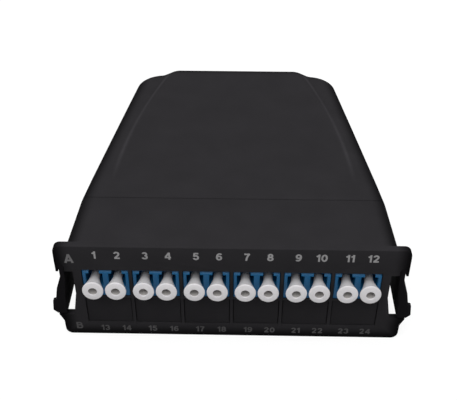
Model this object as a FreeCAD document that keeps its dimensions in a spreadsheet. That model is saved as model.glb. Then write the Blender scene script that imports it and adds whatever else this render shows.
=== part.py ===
"""Fibre cassette: a panel cassette with duplex LC ports in front and a multi-fibre port behind.

Frame: X to the right, Y rearward, Z up. The origin is on the faceplate's front face,
at the middle of its bottom edge. Millimetres throughout.
"""

import FreeCAD, Part
import math
import os
import re
import Sketcher

# Each size: its value and what it is. Every expression below reads these by name.
SIZES = {
    "plate_width": (96.2, "faceplate over its ears"),
    "plate_height": (34, "faceplate and body height"),
    "plate_thick": (2, "faceplate thickness"),
    "plate_corner": (2, "radius of the faceplate's corners"),
    "ear_lip": (1.2, "how far the lip under each latch stands out from the ear"),
    "ear_lip_top": (8, "height of the lip's top, the foot of the latch slot"),
    "lip_ramp": (2.4, "height over which the lip slopes out of the ear"),
    "lip_land": (0.3, "upright edge above that slope"),
    "slot_top_z": (24.8, "height of the latch slot's top"),
    "slot_reach_top": (4.6, "depth of the latch slot into the ear at its top"),
    "slot_reach_foot": (3.2, "depth of the latch slot into the ear at its foot"),
    "slot_knee_z": (16.5, "height at which the slot reaches its full depth"),
    "relief_deep": (0.95, "depth of the relief for the latch in the collar's side"),
    "pivot_inset": (1.5, "latch pivot in from the ear's edge"),
    "pivot_rise": (1.4, "latch pivot above the slot's top"),
    "bead_radius": (0.9, "radius of the latch's pivot bead"),
    "pivot_play": (0.08, "radial clearance of the bead in its socket"),
    "neck_gap": (0.85, "half width of the socket's mouth"),
    "arm_thick": (1.2, "latch arm thickness at its root"),
    "foot_thick": (2.6, "latch arm thickness at its foot"),
    "arm_depth": (14, "latch arm depth at its foot"),
    "root_depth": (6, "latch arm depth at its pivot"),
    "heel_z": (18, "height at which the arm reaches its full depth"),
    "arm_foot_z": (8.4, "height of the latch arm's foot"),
    "arm_splay": (2.3, "how far the arm's foot stands out from its root"),
    "arm_bend": (2.4, "the arm's first bend below the slot's top"),
    "arm_bow": (6.6, "the arm's second bend below the slot's top"),
    "tab_reach": (1.25, "how far the finger tab stands out from the arm"),
    "tab_high": (4.8, "height of the finger tab"),
    "tab_ramp": (0.5, "height of the slope above the tab"),
    "tab_lean": (0.35, "how far the tab's top is set back from its foot"),
    "tab_chamfer": (1.2, "chamfer under the tab"),
    "tab_depth": (1.2, "depth of the tab along the arm"),
    "side_room": (1.85, "room between the outermost openings and the collar's inside"),
    "seam_draw": (2.15, "how much narrower the body is at the seam than at the faceplate"),
    "seam_y": (21.1, "distance from the front to the seam"),
    "seam_gap": (0.25, "gap between collar and rear shells"),
    "rear_width": (68, "width that the tapered sides would reach at the rear face"),
    "body_depth": (96.3, "distance from the front to the rear face"),
    "rear_corner": (8.5, "plan radius of the rear corners"),
    "edge_radius": (2.6, "radius of the body's upper edges"),
    "foot_radius": (1, "radius of the body's lower edges"),
    "wall": (1.8, "body wall"),
    "parting_z": (24, "height of the joint between base and cover"),
    "shoulder_rise": (0.3, "height of the shoulder surface over the top at the seam"),
    "shoulder_step": (2.4, "fall of the shoulder at its inner crease over the body's length"),
    "shoulder_slope": (0.06, "outward slope of the shoulder at the rear"),
    "crease_half": (36.4, "half width of the flat top at the seam"),
    "crease_bend": (0.00225, "how fast the crease turns in towards the rear"),
    "crease_width": (2.8, "width of the slope that leads down from the flat top"),
    "duplex_pitch": (13.87, "pitch of the duplex openings"),
    "port_pitch": (6.25, "pitch of the two ports in one duplex"),
    "window_width": (13, "duplex opening width"),
    "window_high": (10, "duplex opening height"),
    "row_a_z": (20.5, "height of the upper row's centre"),
    "row_web": (0.6, "faceplate left between the two rows"),
    "window_play": (0.15, "clearance of an adapter in its opening"),
    "flange_lap": (0.24, "how far a flange laps the plate behind the opening"),
    "flange_thick": (1.2, "adapter and blank flange thickness"),
    "adapter_inset": (0.3, "adapter face behind the faceplate's front"),
    "adapter_length": (20, "adapter length"),
    "nose_chamfer": (1, "chamfer of the adapter's upper front edge"),
    "port_rise": (1.05, "port axis above the adapter's centre"),
    "port_width": (4.6, "LC port opening, square"),
    "port_depth": (7.5, "LC port depth from either face"),
    "key_width": (2.8, "latch slot above each port"),
    "key_high": (0.9, "latch slot height"),
    "key_short": (1, "how much shallower the latch slot is than its port"),
    "barrel_radius": (1.45, "sleeve holder outside radius"),
    "barrel_length": (4, "how far a sleeve holder stands into its port"),
    "sleeve_radius": (0.8, "ceramic sleeve outside radius"),
    "ferrule_radius": (0.625, "ferrule and sleeve bore radius"),
    "sleeve_length": (10.4, "ceramic sleeve length"),
    "cap_head_radius": (2.95, "dust cap head radius"),
    "cap_reach": (4.3, "cap head's face in front of the adapter's face"),
    "cap_rim": (0.8, "height of the head's straight rim"),
    "cap_stem_radius": (1.15, "dust cap stem radius"),
    "cap_stem_in": (3.3, "depth of the stem inside the port"),
    "cap_flare": (6.3, "length of the trumpet between stem and rim"),
    "cap_flare_radius": (20, "radius of the trumpet's curve"),
    "cap_pin_radius": (0.55, "radius of the pin inside the sleeve"),
    "cap_pin_length": (3.4, "pin length"),
    "cap_hole_radius": (1.05, "hole in the head"),
    "cap_hole_deep": (3.2, "depth of that hole"),
    "blank_inset": (0.3, "blank's face behind the faceplate's front"),
    "blank_depth": (6, "length of a blank's side legs behind its flange"),
    "leg_thick": (1, "thickness of those legs"),
    "leg_short": (2, "how much lower the legs are than the blank"),
    "frame_thick": (1.6, "retainer frame thickness"),
    "frame_play": (0.2, "retainer frame clearance in the collar"),
    "plug_width": (4.4, "LC plug body, square"),
    "ferrule_length": (4, "length of a ferrule in front of its plug"),
    "plug_in": (3.3, "depth of the plug in the rear port"),
    "plug_body": (9, "LC plug body length"),
    "boot_length": (8, "LC plug boot length"),
    "boot_width": (2.6, "LC plug boot, square"),
    "leg_radius": (0.25, "fan-out leg radius"),
    "leg_pitch": (1.05, "pitch of the legs at the rear plug"),
    "leg_lead": (7, "straight start and end of each leg's route"),
    "tongue_thick": (1.5, "thickness of the tongues inside the collar"),
    "tongue_reach": (7, "how far a tongue reaches into the collar"),
    "tongue_root": (4, "how far behind the seam a tongue starts"),
    "tongue_side": (2, "room between a tongue's ends and the collar's inside"),
    "tongue_gap": (0.15, "clearance between a tongue and the collar"),
    "mpo_z": (13, "height of the rear port"),
    "mpo_width": (13.6, "rear adapter body width"),
    "mpo_high": (9.8, "rear adapter body height"),
    "mpo_port_width": (12.4, "rear port opening width"),
    "mpo_port_high": (7.2, "rear port opening height"),
    "mpo_port_deep": (8.6, "rear port depth from either face"),
    "mpo_key_width": (3.2, "keyway above the rear port"),
    "mpo_key_high": (0.7, "keyway height"),
    "mpo_throat_width": (6.8, "passage between the two rear ports"),
    "mpo_throat_high": (3, "height of that passage"),
    "mpo_in": (10, "adapter length inside the rear wall's outer face"),
    "mpo_out": (9, "adapter length outside it"),
    "mpo_flange_width": (22.4, "rear adapter flange width"),
    "mpo_flange_high": (10.8, "rear adapter flange height"),
    "mpo_flange_thick": (1.8, "rear adapter flange thickness"),
    "mpo_corner": (1.5, "radius of the flange's corners"),
    "mpo_screw_pitch": (18.4, "pitch of the two flange screws"),
    "mpo_end_room": (1, "room between a plug or cap and the port's end"),
    "mpo_plug_nose": (8, "length of the rear plug's nose behind the adapter's end"),
    "mpo_plug_width": (13, "rear plug body width"),
    "mpo_plug_high": (8.8, "rear plug body height"),
    "mpo_plug_gap": (2, "distance of that body from the adapter's end"),
    "mpo_plug_body": (12, "rear plug length behind the adapter's end"),
    "mpo_boot": (8, "rear plug boot length"),
    "mpo_boot_width": (9, "rear plug boot width at the plug"),
    "mpo_boot_high": (6, "rear plug boot height at the plug"),
    "mpo_tail_high": (2.1, "rear plug boot height at its tail"),
    "mpo_cap_wall": (1, "wall of the rear dust cap"),
    "mpo_cap_grip": (4.6, "dust cap grip length outside the port"),
    "mpo_cap_corner": (1.2, "radius of the grip's corners"),
    "groove_deep": (0.35, "depth of the grooves across the grip"),
    "groove_width": (0.6, "width of those grooves"),
    "groove_pitch": (1.1, "pitch of those grooves"),
    "small_screw": (0.9, "flange screw radius"),
    "small_head": (1.7, "flange screw head radius"),
    "small_head_high": (1.2, "flange screw head height"),
    "cover_screw": (1.2, "cover screw radius"),
    "screw_play": (0.1, "clearance of a screw in its hole"),
    "screw_head": (2.3, "cover screw head radius"),
    "screw_head_high": (1.5, "cover screw head height"),
    "head_recess": (0.3, "cover screw head under the body's underside"),
    "boss_radius": (3, "screw boss radius"),
    "boss_top": (10, "height of the base's screw bosses"),
    "screw_length": (14, "cover screw length under its head"),
    "pilot_room": (1, "depth of a pilot hole past the screw's tip"),
    "screw_front_run": (28.4, "front screws behind the seam"),
    "screw_front_side": (5.65, "front screws in from the body's side"),
    "screw_rear_run": (10.4, "rear screws in front of the rear face"),
    "screw_rear_side": (7.75, "rear screws in from the body's side"),
    "guide_radius": (15, "fibre guide ring radius"),
    "guide_wall": (1.4, "fibre guide ring wall"),
    "guide_high": (6, "fibre guide ring height above the floor"),
    "guide_run": (30, "fibre guide ring's centre behind the seam"),
}
# Sizes that follow from the others.
DERIVED = {
    "body_width": ("=5 * duplex_pitch + window_width + 2 * (wall + side_room)", "collar width at the plate"),
    "seam_width": ("=body_width - seam_draw", "body width at the seam"),
    "row_b_z": ("=row_a_z - window_high - row_web", "height of the lower row's centre"),
    "shell_front": ("=seam_y + seam_gap", "front of the rear shells"),
}
DUPLEXES = 6
PORTS = 2 * DUPLEXES
SECTIONS = 6

doc = FreeCAD.newDocument("FibreCassette")
sheet = doc.addObject("Spreadsheet::Sheet", "Sizes")
for row, (alias, (size, meaning)) in enumerate({**SIZES, **DERIVED}.items(), start=1):
    sheet.set(f"A{row}", alias)
    sheet.set(f"B{row}", str(size))
    sheet.set(f"C{row}", meaning)
    sheet.setAlias(f"B{row}", alias)
doc.recompute()


# ---------------------------------------------------------------- helpers

def bound(text):
    """Return an expression with every size's name pointed at its cell."""
    known = {**SIZES, **DERIVED}
    return re.sub(r"[a-z][a-z_]+", lambda word: f"Sizes.{word[0]}" if word[0] in known else word[0], text)


def number(text):
    """Return an expression's present value."""
    return float(sheet.evalExpression(bound(text)))


def new_body(name, x="0", y="0", z="0"):
    """Make an empty body whose own origin stands at x, y, z."""
    body = doc.addObject("PartDesign::Body", name)
    body.Label = name
    place(body, x, y, z)
    return body


def place(item, x, y, z):
    """Bind an object's position."""
    for axis, text in zip("xyz", (x, y, z)):
        item.setExpression(f"Placement.Base.{axis}", bound(text))


def new_sketch(body, role, offset="0"):
    """Make a sketch on one of the body's own origin planes, moved along the plane's normal."""
    sketch = body.newObject("Sketcher::SketchObject", f"{body.Name}_sketch")
    plane = next(item for item in body.Origin.OriginFeatures if item.Role == role)
    sketch.AttachmentSupport = (plane, [""])
    sketch.MapMode = "FlatFace"
    sketch.setExpression("AttachmentOffset.Base.z", bound(offset))
    return sketch


def fix(sketch, kind, text, *refs):
    """Add one dimension driven by an expression."""
    index = sketch.addConstraint(Sketcher.Constraint(kind, *refs, number(text)))
    sketch.setExpression(f"Constraints[{index}]", bound(text))


def draw_outline(sketch, corners, arcs=None):
    """Draw a closed outline through corners given as pairs of expressions.

    arcs maps the number of a corner to (radius, turn) when the edge that leaves it is an
    arc: turn is 1 where the arc's centre lies to the left of the way along, and -1 to the right.
    """
    arcs = arcs or {}
    first = sketch.GeometryCount
    points = [FreeCAD.Vector(number(x), number(y), 0) for x, y in corners]
    ends = []
    for index, start in enumerate(points):
        stop = points[(index + 1) % len(points)]
        if index not in arcs:
            sketch.addGeometry(Part.LineSegment(start, stop), False)
            ends.append((1, 2))
            continue
        radius, turn = number(arcs[index][0]), arcs[index][1]
        chord = stop - start
        across = FreeCAD.Vector(-chord.y, chord.x, 0).normalize() * turn
        centre = (start + stop) * 0.5 + across * math.sqrt(radius**2 - (chord.Length / 2) ** 2)
        angles = [math.atan2(point.y - centre.y, point.x - centre.x) for point in (start, stop)]
        circle = Part.Circle(centre, FreeCAD.Vector(0, 0, 1), radius)
        sketch.addGeometry(Part.ArcOfCircle(circle, *angles[::turn]), False)
        ends.append((1, 2)[::turn])
    for index, (x, y) in enumerate(corners):
        following = (index + 1) % len(corners)
        join = (first + index, ends[index][1], first + following, ends[following][0])
        sketch.addConstraint(Sketcher.Constraint("Coincident", *join))
        fix(sketch, "DistanceX", x, -1, 1, first + index, ends[index][0])
        fix(sketch, "DistanceY", y, -1, 1, first + index, ends[index][0])
    for index, (radius, _) in arcs.items():
        fix(sketch, "Radius", radius, first + index)


def draw_rectangle(sketch, x, y, width, high):
    """Draw a rectangle round a centre."""
    left, right = f"{x} - ({width}) / 2", f"{x} + ({width}) / 2"
    low, top = f"{y} - ({high}) / 2", f"{y} + ({high}) / 2"
    draw_outline(sketch, [(left, low), (right, low), (right, top), (left, top)])


def draw_circle(sketch, x, y, radius):
    """Draw a circle."""
    centre = FreeCAD.Vector(number(x), number(y), 0)
    index = sketch.addGeometry(Part.Circle(centre, FreeCAD.Vector(0, 0, 1), number(radius)), False)
    fix(sketch, "DistanceX", x, -1, 1, index, 3)
    fix(sketch, "DistanceY", y, -1, 1, index, 3)
    fix(sketch, "Radius", radius, index)


def settle(feature):
    """Recompute and stop at once if the newest feature failed."""
    doc.recompute()
    if "Invalid" in feature.State or feature.Shape.isNull():
        raise RuntimeError(f"{feature.Name} failed: {feature.getStatusString()}")
    return feature


def pad(body, sketch, length, reverse=False):
    """Add a sketch's area, along its plane's normal or against it."""
    feature = body.newObject("PartDesign::Pad", f"{body.Name}_pad")
    feature.Profile = sketch
    feature.setExpression("Length", bound(length))
    feature.Reversed = reverse
    return settle(feature)


def pocket(body, sketch, length, reverse=False):
    """Cut a sketch's area, against its plane's normal or, reversed, along it."""
    before = body.Shape.Volume
    feature = body.newObject("PartDesign::Pocket", f"{body.Name}_pocket")
    feature.Profile = sketch
    feature.setExpression("Length", bound(length))
    feature.Reversed = reverse
    settle(feature)
    if not body.Shape.Volume < before:
        raise RuntimeError(f"{feature.Name} cuts nothing")
    return feature


def repeat(body, feature, sketch, pitch, count):
    """Repeat a feature along its sketch's horizontal axis."""
    pattern = body.newObject("PartDesign::LinearPattern", f"{body.Name}_pattern")
    pattern.Originals = [feature]
    pattern.Direction = (sketch, ["H_Axis"])
    pattern.setExpression("Length", bound(f"({pitch}) * {count - 1}"))
    pattern.Occurrences = count
    body.Tip = pattern
    return settle(pattern)


def fillet(body, radius, picked, kind="Fillet"):
    """Round, or chamfer, the edges whose middle point the function picked says yes to."""
    feature = body.newObject(f"PartDesign::{kind}", f"{body.Name}_{kind.lower()}")
    base = feature.BaseFeature or body.Tip
    names = []
    for index, edge in enumerate(base.Shape.Edges, start=1):
        middle = edge.valueAt((edge.FirstParameter + edge.LastParameter) / 2)
        if picked(middle, edge):
            names.append(f"Edge{index}")
    feature.Base = (base, names)
    feature.setExpression("Radius" if kind == "Fillet" else "Size", bound(radius))
    return settle(feature)


def solid_box(name, x, y, z, width, depth, high):
    """Make a Part box between x and x + width, and so on."""
    box = doc.addObject("Part::Box", name)
    for side, text in zip(("Length", "Width", "Height"), (width, depth, high)):
        box.setExpression(side, bound(text))
    place(box, x, y, z)
    return box


def round_bar(name, radius, length, x, y, z, along="Y"):
    """Make a cylinder that runs along +Y or +Z from x, y, z."""
    bar = doc.addObject("Part::Cylinder", name)
    bar.setExpression("Radius", bound(radius))
    bar.setExpression("Height", bound(length))
    if along == "Y":
        bar.Placement.Rotation = FreeCAD.Rotation(FreeCAD.Vector(1, 0, 0), -90)
    place(bar, x, y, z)
    return bar


def fuse(name, items):
    """Join Part solids into one object."""
    joined = doc.addObject("Part::MultiFuse", name)
    joined.Label = name
    joined.Shapes = items
    return joined


def cut(name, base, tool):
    """Take one object from another."""
    result = doc.addObject("Part::Cut", name)
    result.Label = name
    result.Base = base
    result.Tool = tool
    return result


def group(name, items):
    """Keep separate solids together in one named node."""
    gathered = doc.addObject("Part::Compound", name)
    gathered.Label = name
    gathered.Links = items
    return gathered


def duplex_x(duplex):
    """Return the expression for a duplex opening's X, counted from 0 at the left."""
    return f"{duplex - (DUPLEXES - 1) / 2} * duplex_pitch"


def port_x(port):
    """Return the expression for a port's X, counted from 0 at the left."""
    duplex, side = divmod(port, 2)
    return f"{duplex_x(duplex)} + {side - 0.5} * port_pitch"


# ---------------------------------------------------------------- front

def make_front_bezel():
    """Make the faceplate with its ears, and the short collar behind it."""
    body = new_body("front_bezel")
    edge, lip = "plate_width / 2", "plate_width / 2 + ear_lip"
    foot, top = "plate_width / 2 - slot_reach_foot", "plate_width / 2 - slot_reach_top"
    right = [(edge, "0"), (edge, "ear_lip_top - lip_land - lip_ramp"), (lip, "ear_lip_top - lip_land"),
             (lip, "ear_lip_top"), (foot, "ear_lip_top"), (top, "slot_knee_z"), (top, "slot_top_z"),
             (edge, "slot_top_z"), (edge, "plate_height")]
    left = [(f"-({x})", z) for x, z in reversed(right)]
    sketch = new_sketch(body, "XZ_Plane")
    draw_outline(sketch, right + left)
    pad(body, sketch, "plate_thick", reverse=True)
    side, height = number(edge), number("plate_height")

    def at_corner(middle, line):
        return abs(abs(middle.x) - side) < 0.01 and (middle.z < 0.01 or middle.z > height - 0.01) \
            and abs(line.Vertexes[0].Y - line.Vertexes[-1].Y) > 0.5

    fillet(body, "plate_corner", at_corner)
    add_collar(body)
    cut_windows(body)
    cut_latch_sockets(body)
    return body


def taper(y, inset="0"):
    """Return the expression for the collar's half width at y, less an inset."""
    start = f"(body_width - (body_width - seam_width) * ({y} - plate_thick) / (seam_y - plate_thick)) / 2"
    return f"{start} - ({inset})"


def add_collar(body):
    """Add the collar behind the faceplate, round its long edges and hollow it."""
    sketch = new_sketch(body, "XY_Plane")
    front, rear = taper("plate_thick"), taper("seam_y")
    draw_outline(sketch, [(f"-({front})", "plate_thick"), (front, "plate_thick"),
                          (rear, "seam_y"), (f"-({rear})", "seam_y")])
    pad(body, sketch, "plate_height")
    middle_y, height = number("(plate_thick + seam_y) / 2"), number("plate_height")
    half = number(taper("(plate_thick + seam_y) / 2"))

    def long_edge(middle, level):
        return abs(middle.y - middle_y) < 1 and abs(abs(middle.x) - half) < 1 and abs(middle.z - level) < 0.01

    fillet(body, "edge_radius", lambda middle, _: long_edge(middle, height))
    fillet(body, "foot_radius", lambda middle, _: long_edge(middle, 0))
    sketch = new_sketch(body, "XY_Plane", "wall")
    front, rear = taper("plate_thick", "wall"), taper("seam_y + 1", "wall")
    draw_outline(sketch, [(f"-({front})", "plate_thick"), (front, "plate_thick"),
                          (rear, "seam_y + 1"), (f"-({rear})", "seam_y + 1")])
    pocket(body, sketch, "plate_height - 2 * wall", reverse=True)
    sketch = new_sketch(body, "XY_Plane", "ear_lip_top")
    for sign in ("-1", "1"):
        near, far = taper("plate_thick", "relief_deep"), taper("arm_depth + 1", "relief_deep")
        corners = [("body_width / 2 + 1", "plate_thick"), (near, "plate_thick"),
                   (far, "arm_depth + 1"), ("body_width / 2 + 1", "arm_depth + 1")]
        draw_outline(sketch, [(f"{sign} * ({x})", y) for x, y in corners])
    pocket(body, sketch, "slot_top_z - ear_lip_top", reverse=True)


def cut_windows(body):
    """Cut both rows of duplex openings through the faceplate."""
    first = duplex_x(0)
    for level in ("row_a_z", "row_b_z"):
        sketch = new_sketch(body, "XZ_Plane")
        draw_rectangle(sketch, first, level, "window_width", "window_high")
        window = pocket(body, sketch, "plate_thick")
        repeat(body, window, sketch, "duplex_pitch", DUPLEXES)


def cut_latch_sockets(body):
    """Cut the round socket and its mouth for each latch's pivot bead."""
    for sign in ("-1", "1"):
        centre = f"{sign} * (plate_width / 2 - pivot_inset)"
        sketch = new_sketch(body, "XZ_Plane")
        draw_circle(sketch, centre, "slot_top_z + pivot_rise", "bead_radius + pivot_play")
        pocket(body, sketch, "plate_thick")
        sketch = new_sketch(body, "XZ_Plane")
        draw_rectangle(sketch, centre, "slot_top_z + pivot_rise / 2 - 0.5", "2 * neck_gap", "pivot_rise + 1")
        pocket(body, sketch, "plate_thick")


def make_latch(name, sign):
    """Make one latch: a pivot bead, a splayed spring arm that deepens to its foot and a finger tab."""
    body = new_body(name, y="pivot_play")
    root = "plate_width / 2 - pivot_inset"
    inner, outer = f"{root} - arm_thick / 2", f"{root} + arm_thick / 2"
    foot_outer = f"{outer} + arm_splay"
    foot_inner = f"{foot_outer} - foot_thick"
    tip = f"{foot_outer} + tab_reach"
    bend, bow = "slot_top_z - arm_bend", "slot_top_z - arm_bow"
    tab_top = "arm_foot_z + tab_high"
    knee = f"{tab_top} + tab_ramp"
    head = "slot_top_z + pivot_rise / 2"
    profile = [(outer, head), (outer, bend), (f"{outer} + 0.65 * arm_splay", bow), (foot_outer, knee),
               (foot_outer, "arm_foot_z"), (foot_inner, "arm_foot_z"), (foot_inner, knee),
               (inner, bend), (inner, head)]
    sketch = new_sketch(body, "XZ_Plane")
    draw_outline(sketch, [(f"{sign} * ({x})", z) for x, z in profile])
    pad(body, sketch, "arm_depth", reverse=True)
    sketch = new_sketch(body, "YZ_Plane", f"{sign} * ({inner} - 1)")
    draw_outline(sketch, [("root_depth", f"{head} + 1"), ("root_depth", "slot_top_z"), ("arm_depth", "heel_z"),
                          ("arm_depth + 1", "heel_z"), ("arm_depth + 1", f"{head} + 1")])
    pocket(body, sketch, "arm_thick + arm_splay + 2", reverse=sign == "1")
    sketch = new_sketch(body, "XZ_Plane")
    draw_circle(sketch, f"{sign} * ({root})", "slot_top_z + pivot_rise", "bead_radius")
    pad(body, sketch, "root_depth", reverse=True)
    bends = [number(bend), number(bow), number(knee)]

    def at_bend(middle, line):
        ends = line.Vertexes[0], line.Vertexes[-1]
        along_y = abs(ends[0].Y - ends[1].Y) > 1 and abs(ends[0].X - ends[1].X) < 0.01
        return along_y and min(abs(middle.z - level) for level in bends) < 0.05

    fillet(body, "arm_thick * 0.8", at_bend)
    root = f"{foot_outer} - tab_ramp"
    profile = [(root, knee), (f"{tip} - tab_lean", tab_top), (tip, "arm_foot_z + tab_chamfer"),
               (f"{tip} - tab_chamfer", "arm_foot_z"), (root, "arm_foot_z")]
    sketch = new_sketch(body, "XZ_Plane")
    draw_outline(sketch, [(f"{sign} * ({x})", z) for x, z in profile])
    pad(body, sketch, "tab_depth", reverse=True)
    return body


# ---------------------------------------------------------------- ports

def make_adapter(name, duplex):
    """Make one duplex LC adapter. Its own origin is on its front face, level with the ports."""
    body = new_body(name, duplex_x(duplex), "adapter_inset", "row_a_z + port_rise")
    sketch = new_sketch(body, "XZ_Plane")
    draw_rectangle(sketch, "0", "-port_rise", "window_width - 2 * window_play", "window_high - 2 * window_play")
    pad(body, sketch, "adapter_length", reverse=True)
    top = number("window_high / 2 - window_play - port_rise")
    fillet(body, "nose_chamfer",
           lambda middle, _: abs(middle.y) < 0.01 and abs(middle.z - top) < 0.01, "Chamfer")
    sketch = new_sketch(body, "XZ_Plane", "adapter_inset - plate_thick")
    draw_rectangle(sketch, "0", "-port_rise", "window_width + 2 * flange_lap", "window_high + 1.6 * flange_lap")
    pad(body, sketch, "flange_thick", reverse=True)
    for face, reverse in (("0", False), ("-adapter_length", True)):
        sketch = new_sketch(body, "XZ_Plane", face)
        for side in ("-0.5", "0.5"):
            draw_rectangle(sketch, f"{side} * port_pitch", "0", "port_width", "port_width")
        pocket(body, sketch, "port_depth", reverse)
        sketch = new_sketch(body, "XZ_Plane", face)
        for side in ("-0.5", "0.5"):
            draw_rectangle(sketch, f"{side} * port_pitch", "port_width / 2", "key_width", "2 * key_high")
        pocket(body, sketch, "port_depth - key_short", reverse)
    sketch = new_sketch(body, "XZ_Plane", "barrel_length - port_depth")
    for side in ("-0.5", "0.5"):
        draw_circle(sketch, f"{side} * port_pitch", "0", "barrel_radius")
    pad(body, sketch, "adapter_length - 2 * (port_depth - barrel_length)", reverse=True)
    sketch = new_sketch(body, "XZ_Plane")
    for side in ("-0.5", "0.5"):
        draw_circle(sketch, f"{side} * port_pitch", "0", "sleeve_radius")
    pocket(body, sketch, "adapter_length")
    return body


def make_sleeves():
    """Make the ceramic sleeves, one inside the pair of holders of each port."""
    sleeves = []
    start = "adapter_inset + (adapter_length - sleeve_length) / 2"
    for port in range(PORTS):
        spot = (port_x(port), start, "row_a_z + port_rise")
        tube = round_bar(f"sleeve_{port + 1}", "sleeve_radius", "sleeve_length", *spot)
        bore = round_bar(f"sleeve_bore_{port + 1}", "ferrule_radius", "sleeve_length", *spot)
        sleeves.append(cut(f"sleeve_tube_{port + 1}", tube, bore))
    return group("alignment_sleeves", sleeves)


def make_dust_cap(name, port):
    """Make one dust cap by turning its profile about the port's axis.

    Its own origin is on the adapter's face. The head points forward, along -Y.
    """
    body = new_body(name, port_x(port), "adapter_inset", "row_a_z + port_rise")
    sketch = new_sketch(body, "YZ_Plane")
    rim = "cap_rim - cap_reach"
    profile = [("cap_hole_deep - cap_reach", "0"), ("cap_stem_in + cap_pin_length", "0"),
               ("cap_stem_in + cap_pin_length", "cap_pin_radius"), ("cap_stem_in", "cap_pin_radius"),
               ("cap_stem_in", "cap_stem_radius"), (f"{rim} + cap_flare", "cap_stem_radius"),
               (rim, "cap_head_radius"), ("-cap_reach", "cap_head_radius"),
               ("-cap_reach", "cap_hole_radius"), ("cap_hole_deep - cap_reach", "cap_hole_radius")]
    draw_outline(sketch, profile, {5: ("cap_flare_radius", -1)})
    turned = body.newObject("PartDesign::Revolution", f"{name}_turned")
    turned.Profile = sketch
    turned.ReferenceAxis = (sketch, ["H_Axis"])
    settle(turned)
    return body


def make_blank(name, duplex):
    """Make one blank for the lower row: a face, a flange behind the plate and two side legs."""
    body = new_body(name, duplex_x(duplex), "blank_inset", "row_b_z")
    wide, high = "window_width - 2 * window_play", "window_high - 2 * window_play"
    sketch = new_sketch(body, "XZ_Plane")
    draw_rectangle(sketch, "0", "0", wide, high)
    pad(body, sketch, "plate_thick - blank_inset", reverse=True)
    sketch = new_sketch(body, "XZ_Plane", "blank_inset - plate_thick")
    draw_rectangle(sketch, "0", "0", "window_width + 2 * flange_lap", "window_high + 1.6 * flange_lap")
    pad(body, sketch, "flange_thick", reverse=True)
    sketch = new_sketch(body, "XZ_Plane", "blank_inset - plate_thick - flange_thick")
    for sign in ("-1", "1"):
        draw_rectangle(sketch, f"{sign} * ({wide} - leg_thick) / 2", "0", "leg_thick", f"{high} - leg_short")
    pad(body, sketch, "blank_depth", reverse=True)
    return body


def make_retainer_frame():
    """Make the frame that holds every flange against the back of the faceplate."""
    body = new_body("retainer_frame", y="plate_thick + flange_thick")
    width = f"2 * ({taper('plate_thick + flange_thick + frame_thick', 'wall + frame_play')})"
    sketch = new_sketch(body, "XZ_Plane")
    draw_rectangle(sketch, "0", "plate_height / 2", width, "plate_height - 2 * wall - 2 * frame_play")
    pad(body, sketch, "frame_thick", reverse=True)
    first = duplex_x(0)
    for level in ("row_a_z", "row_b_z"):
        sketch = new_sketch(body, "XZ_Plane")
        draw_rectangle(sketch, first, level, "window_width", "window_high")
        window = pocket(body, sketch, "frame_thick")
        repeat(body, window, sketch, "duplex_pitch", DUPLEXES)
    return body


def make_lc_plug(name, port):
    """Make one inner LC plug: its ferrule, square body and boot."""
    x, z = port_x(port), "row_a_z + port_rise"
    nose = "adapter_inset + adapter_length - plug_in"
    block = solid_box(f"{name}_block", f"{x} - plug_width / 2", nose, f"{z} - plug_width / 2",
                      "plug_width", "plug_body", "plug_width")
    ferrule = round_bar(f"{name}_ferrule", "ferrule_radius", "ferrule_length", x, f"{nose} - ferrule_length", z)
    boot = solid_box(f"{name}_boot", f"{x} - boot_width / 2", f"{nose} + plug_body", f"{z} - boot_width / 2",
                     "boot_width", "boot_length", "boot_width")
    return fuse(name, [block, ferrule, boot])


# ---------------------------------------------------------------- rear shells

def body_outline(inset="0", front="shell_front"):
    """Return the tapered plan of the rear shells as four corners."""
    near, far = f"seam_width / 2 - ({inset})", f"rear_width / 2 - ({inset})"
    rear = f"body_depth - ({inset})"
    return [(f"-({near})", front), (near, front), (far, rear), (f"-({far})", rear)]


def upright_rear(middle, line):
    """Say whether an edge is one of the two upright rear corners."""
    return middle.y > number("body_depth") - 4 and abs(line.Vertexes[0].Z - line.Vertexes[-1].Z) > 1


def add_prism(body, low, high, inset="0", front="shell_front"):
    """Add a prism with the body's plan between two heights, its rear corners rounded."""
    sketch = new_sketch(body, "XY_Plane", low)
    draw_outline(sketch, body_outline(inset, front))
    pad(body, sketch, f"({high}) - ({low})")
    fillet(body, f"rear_corner - ({inset})", upright_rear)


def make_shoulder_form(name, lowered="0"):
    """Make the form whose top carries the flat centre and the sloping shoulders.

    Its cross-sections follow one rule along the body: the shoulder falls in proportion
    to the distance from the seam, and slopes outward in the same proportion, while the
    crease between it and the flat top turns in along a parabola.
    """
    body = new_body(name)
    sketches = []
    for index in range(SECTIONS):
        share = index / (SECTIONS - 1)
        along = f"({share} * (body_depth + edge_radius - seam_y))"
        crease = f"crease_half - crease_bend * {along}^2"
        level = f"plate_height + shoulder_rise - ({lowered})"
        step = f"{level} - shoulder_step * {share}"
        outer = f"{step} - shoulder_slope * {share} * (body_width - ({crease}))"
        right = [("body_width", "0"), ("body_width", outer), (crease, step),
                 (f"{crease} - crease_width", f"{level} + 1")]
        left = [(f"-({x})", z) for x, z in reversed(right)]
        sketch = new_sketch(body, "XZ_Plane", f"-(seam_y + {along})")
        draw_outline(sketch, right + left)
        sketches.append(sketch)
    doc.recompute()
    loft = body.newObject("PartDesign::AdditiveLoft", f"{name}_loft")
    loft.Profile = sketches[0]
    loft.Sections = sketches[1:]
    settle(loft)
    return body


def side_at(y):
    """Return the expression for the rear shells' half width at y."""
    return f"(seam_width - (seam_width - rear_width) * ({y} - shell_front) / (body_depth - shell_front)) / 2"


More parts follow.
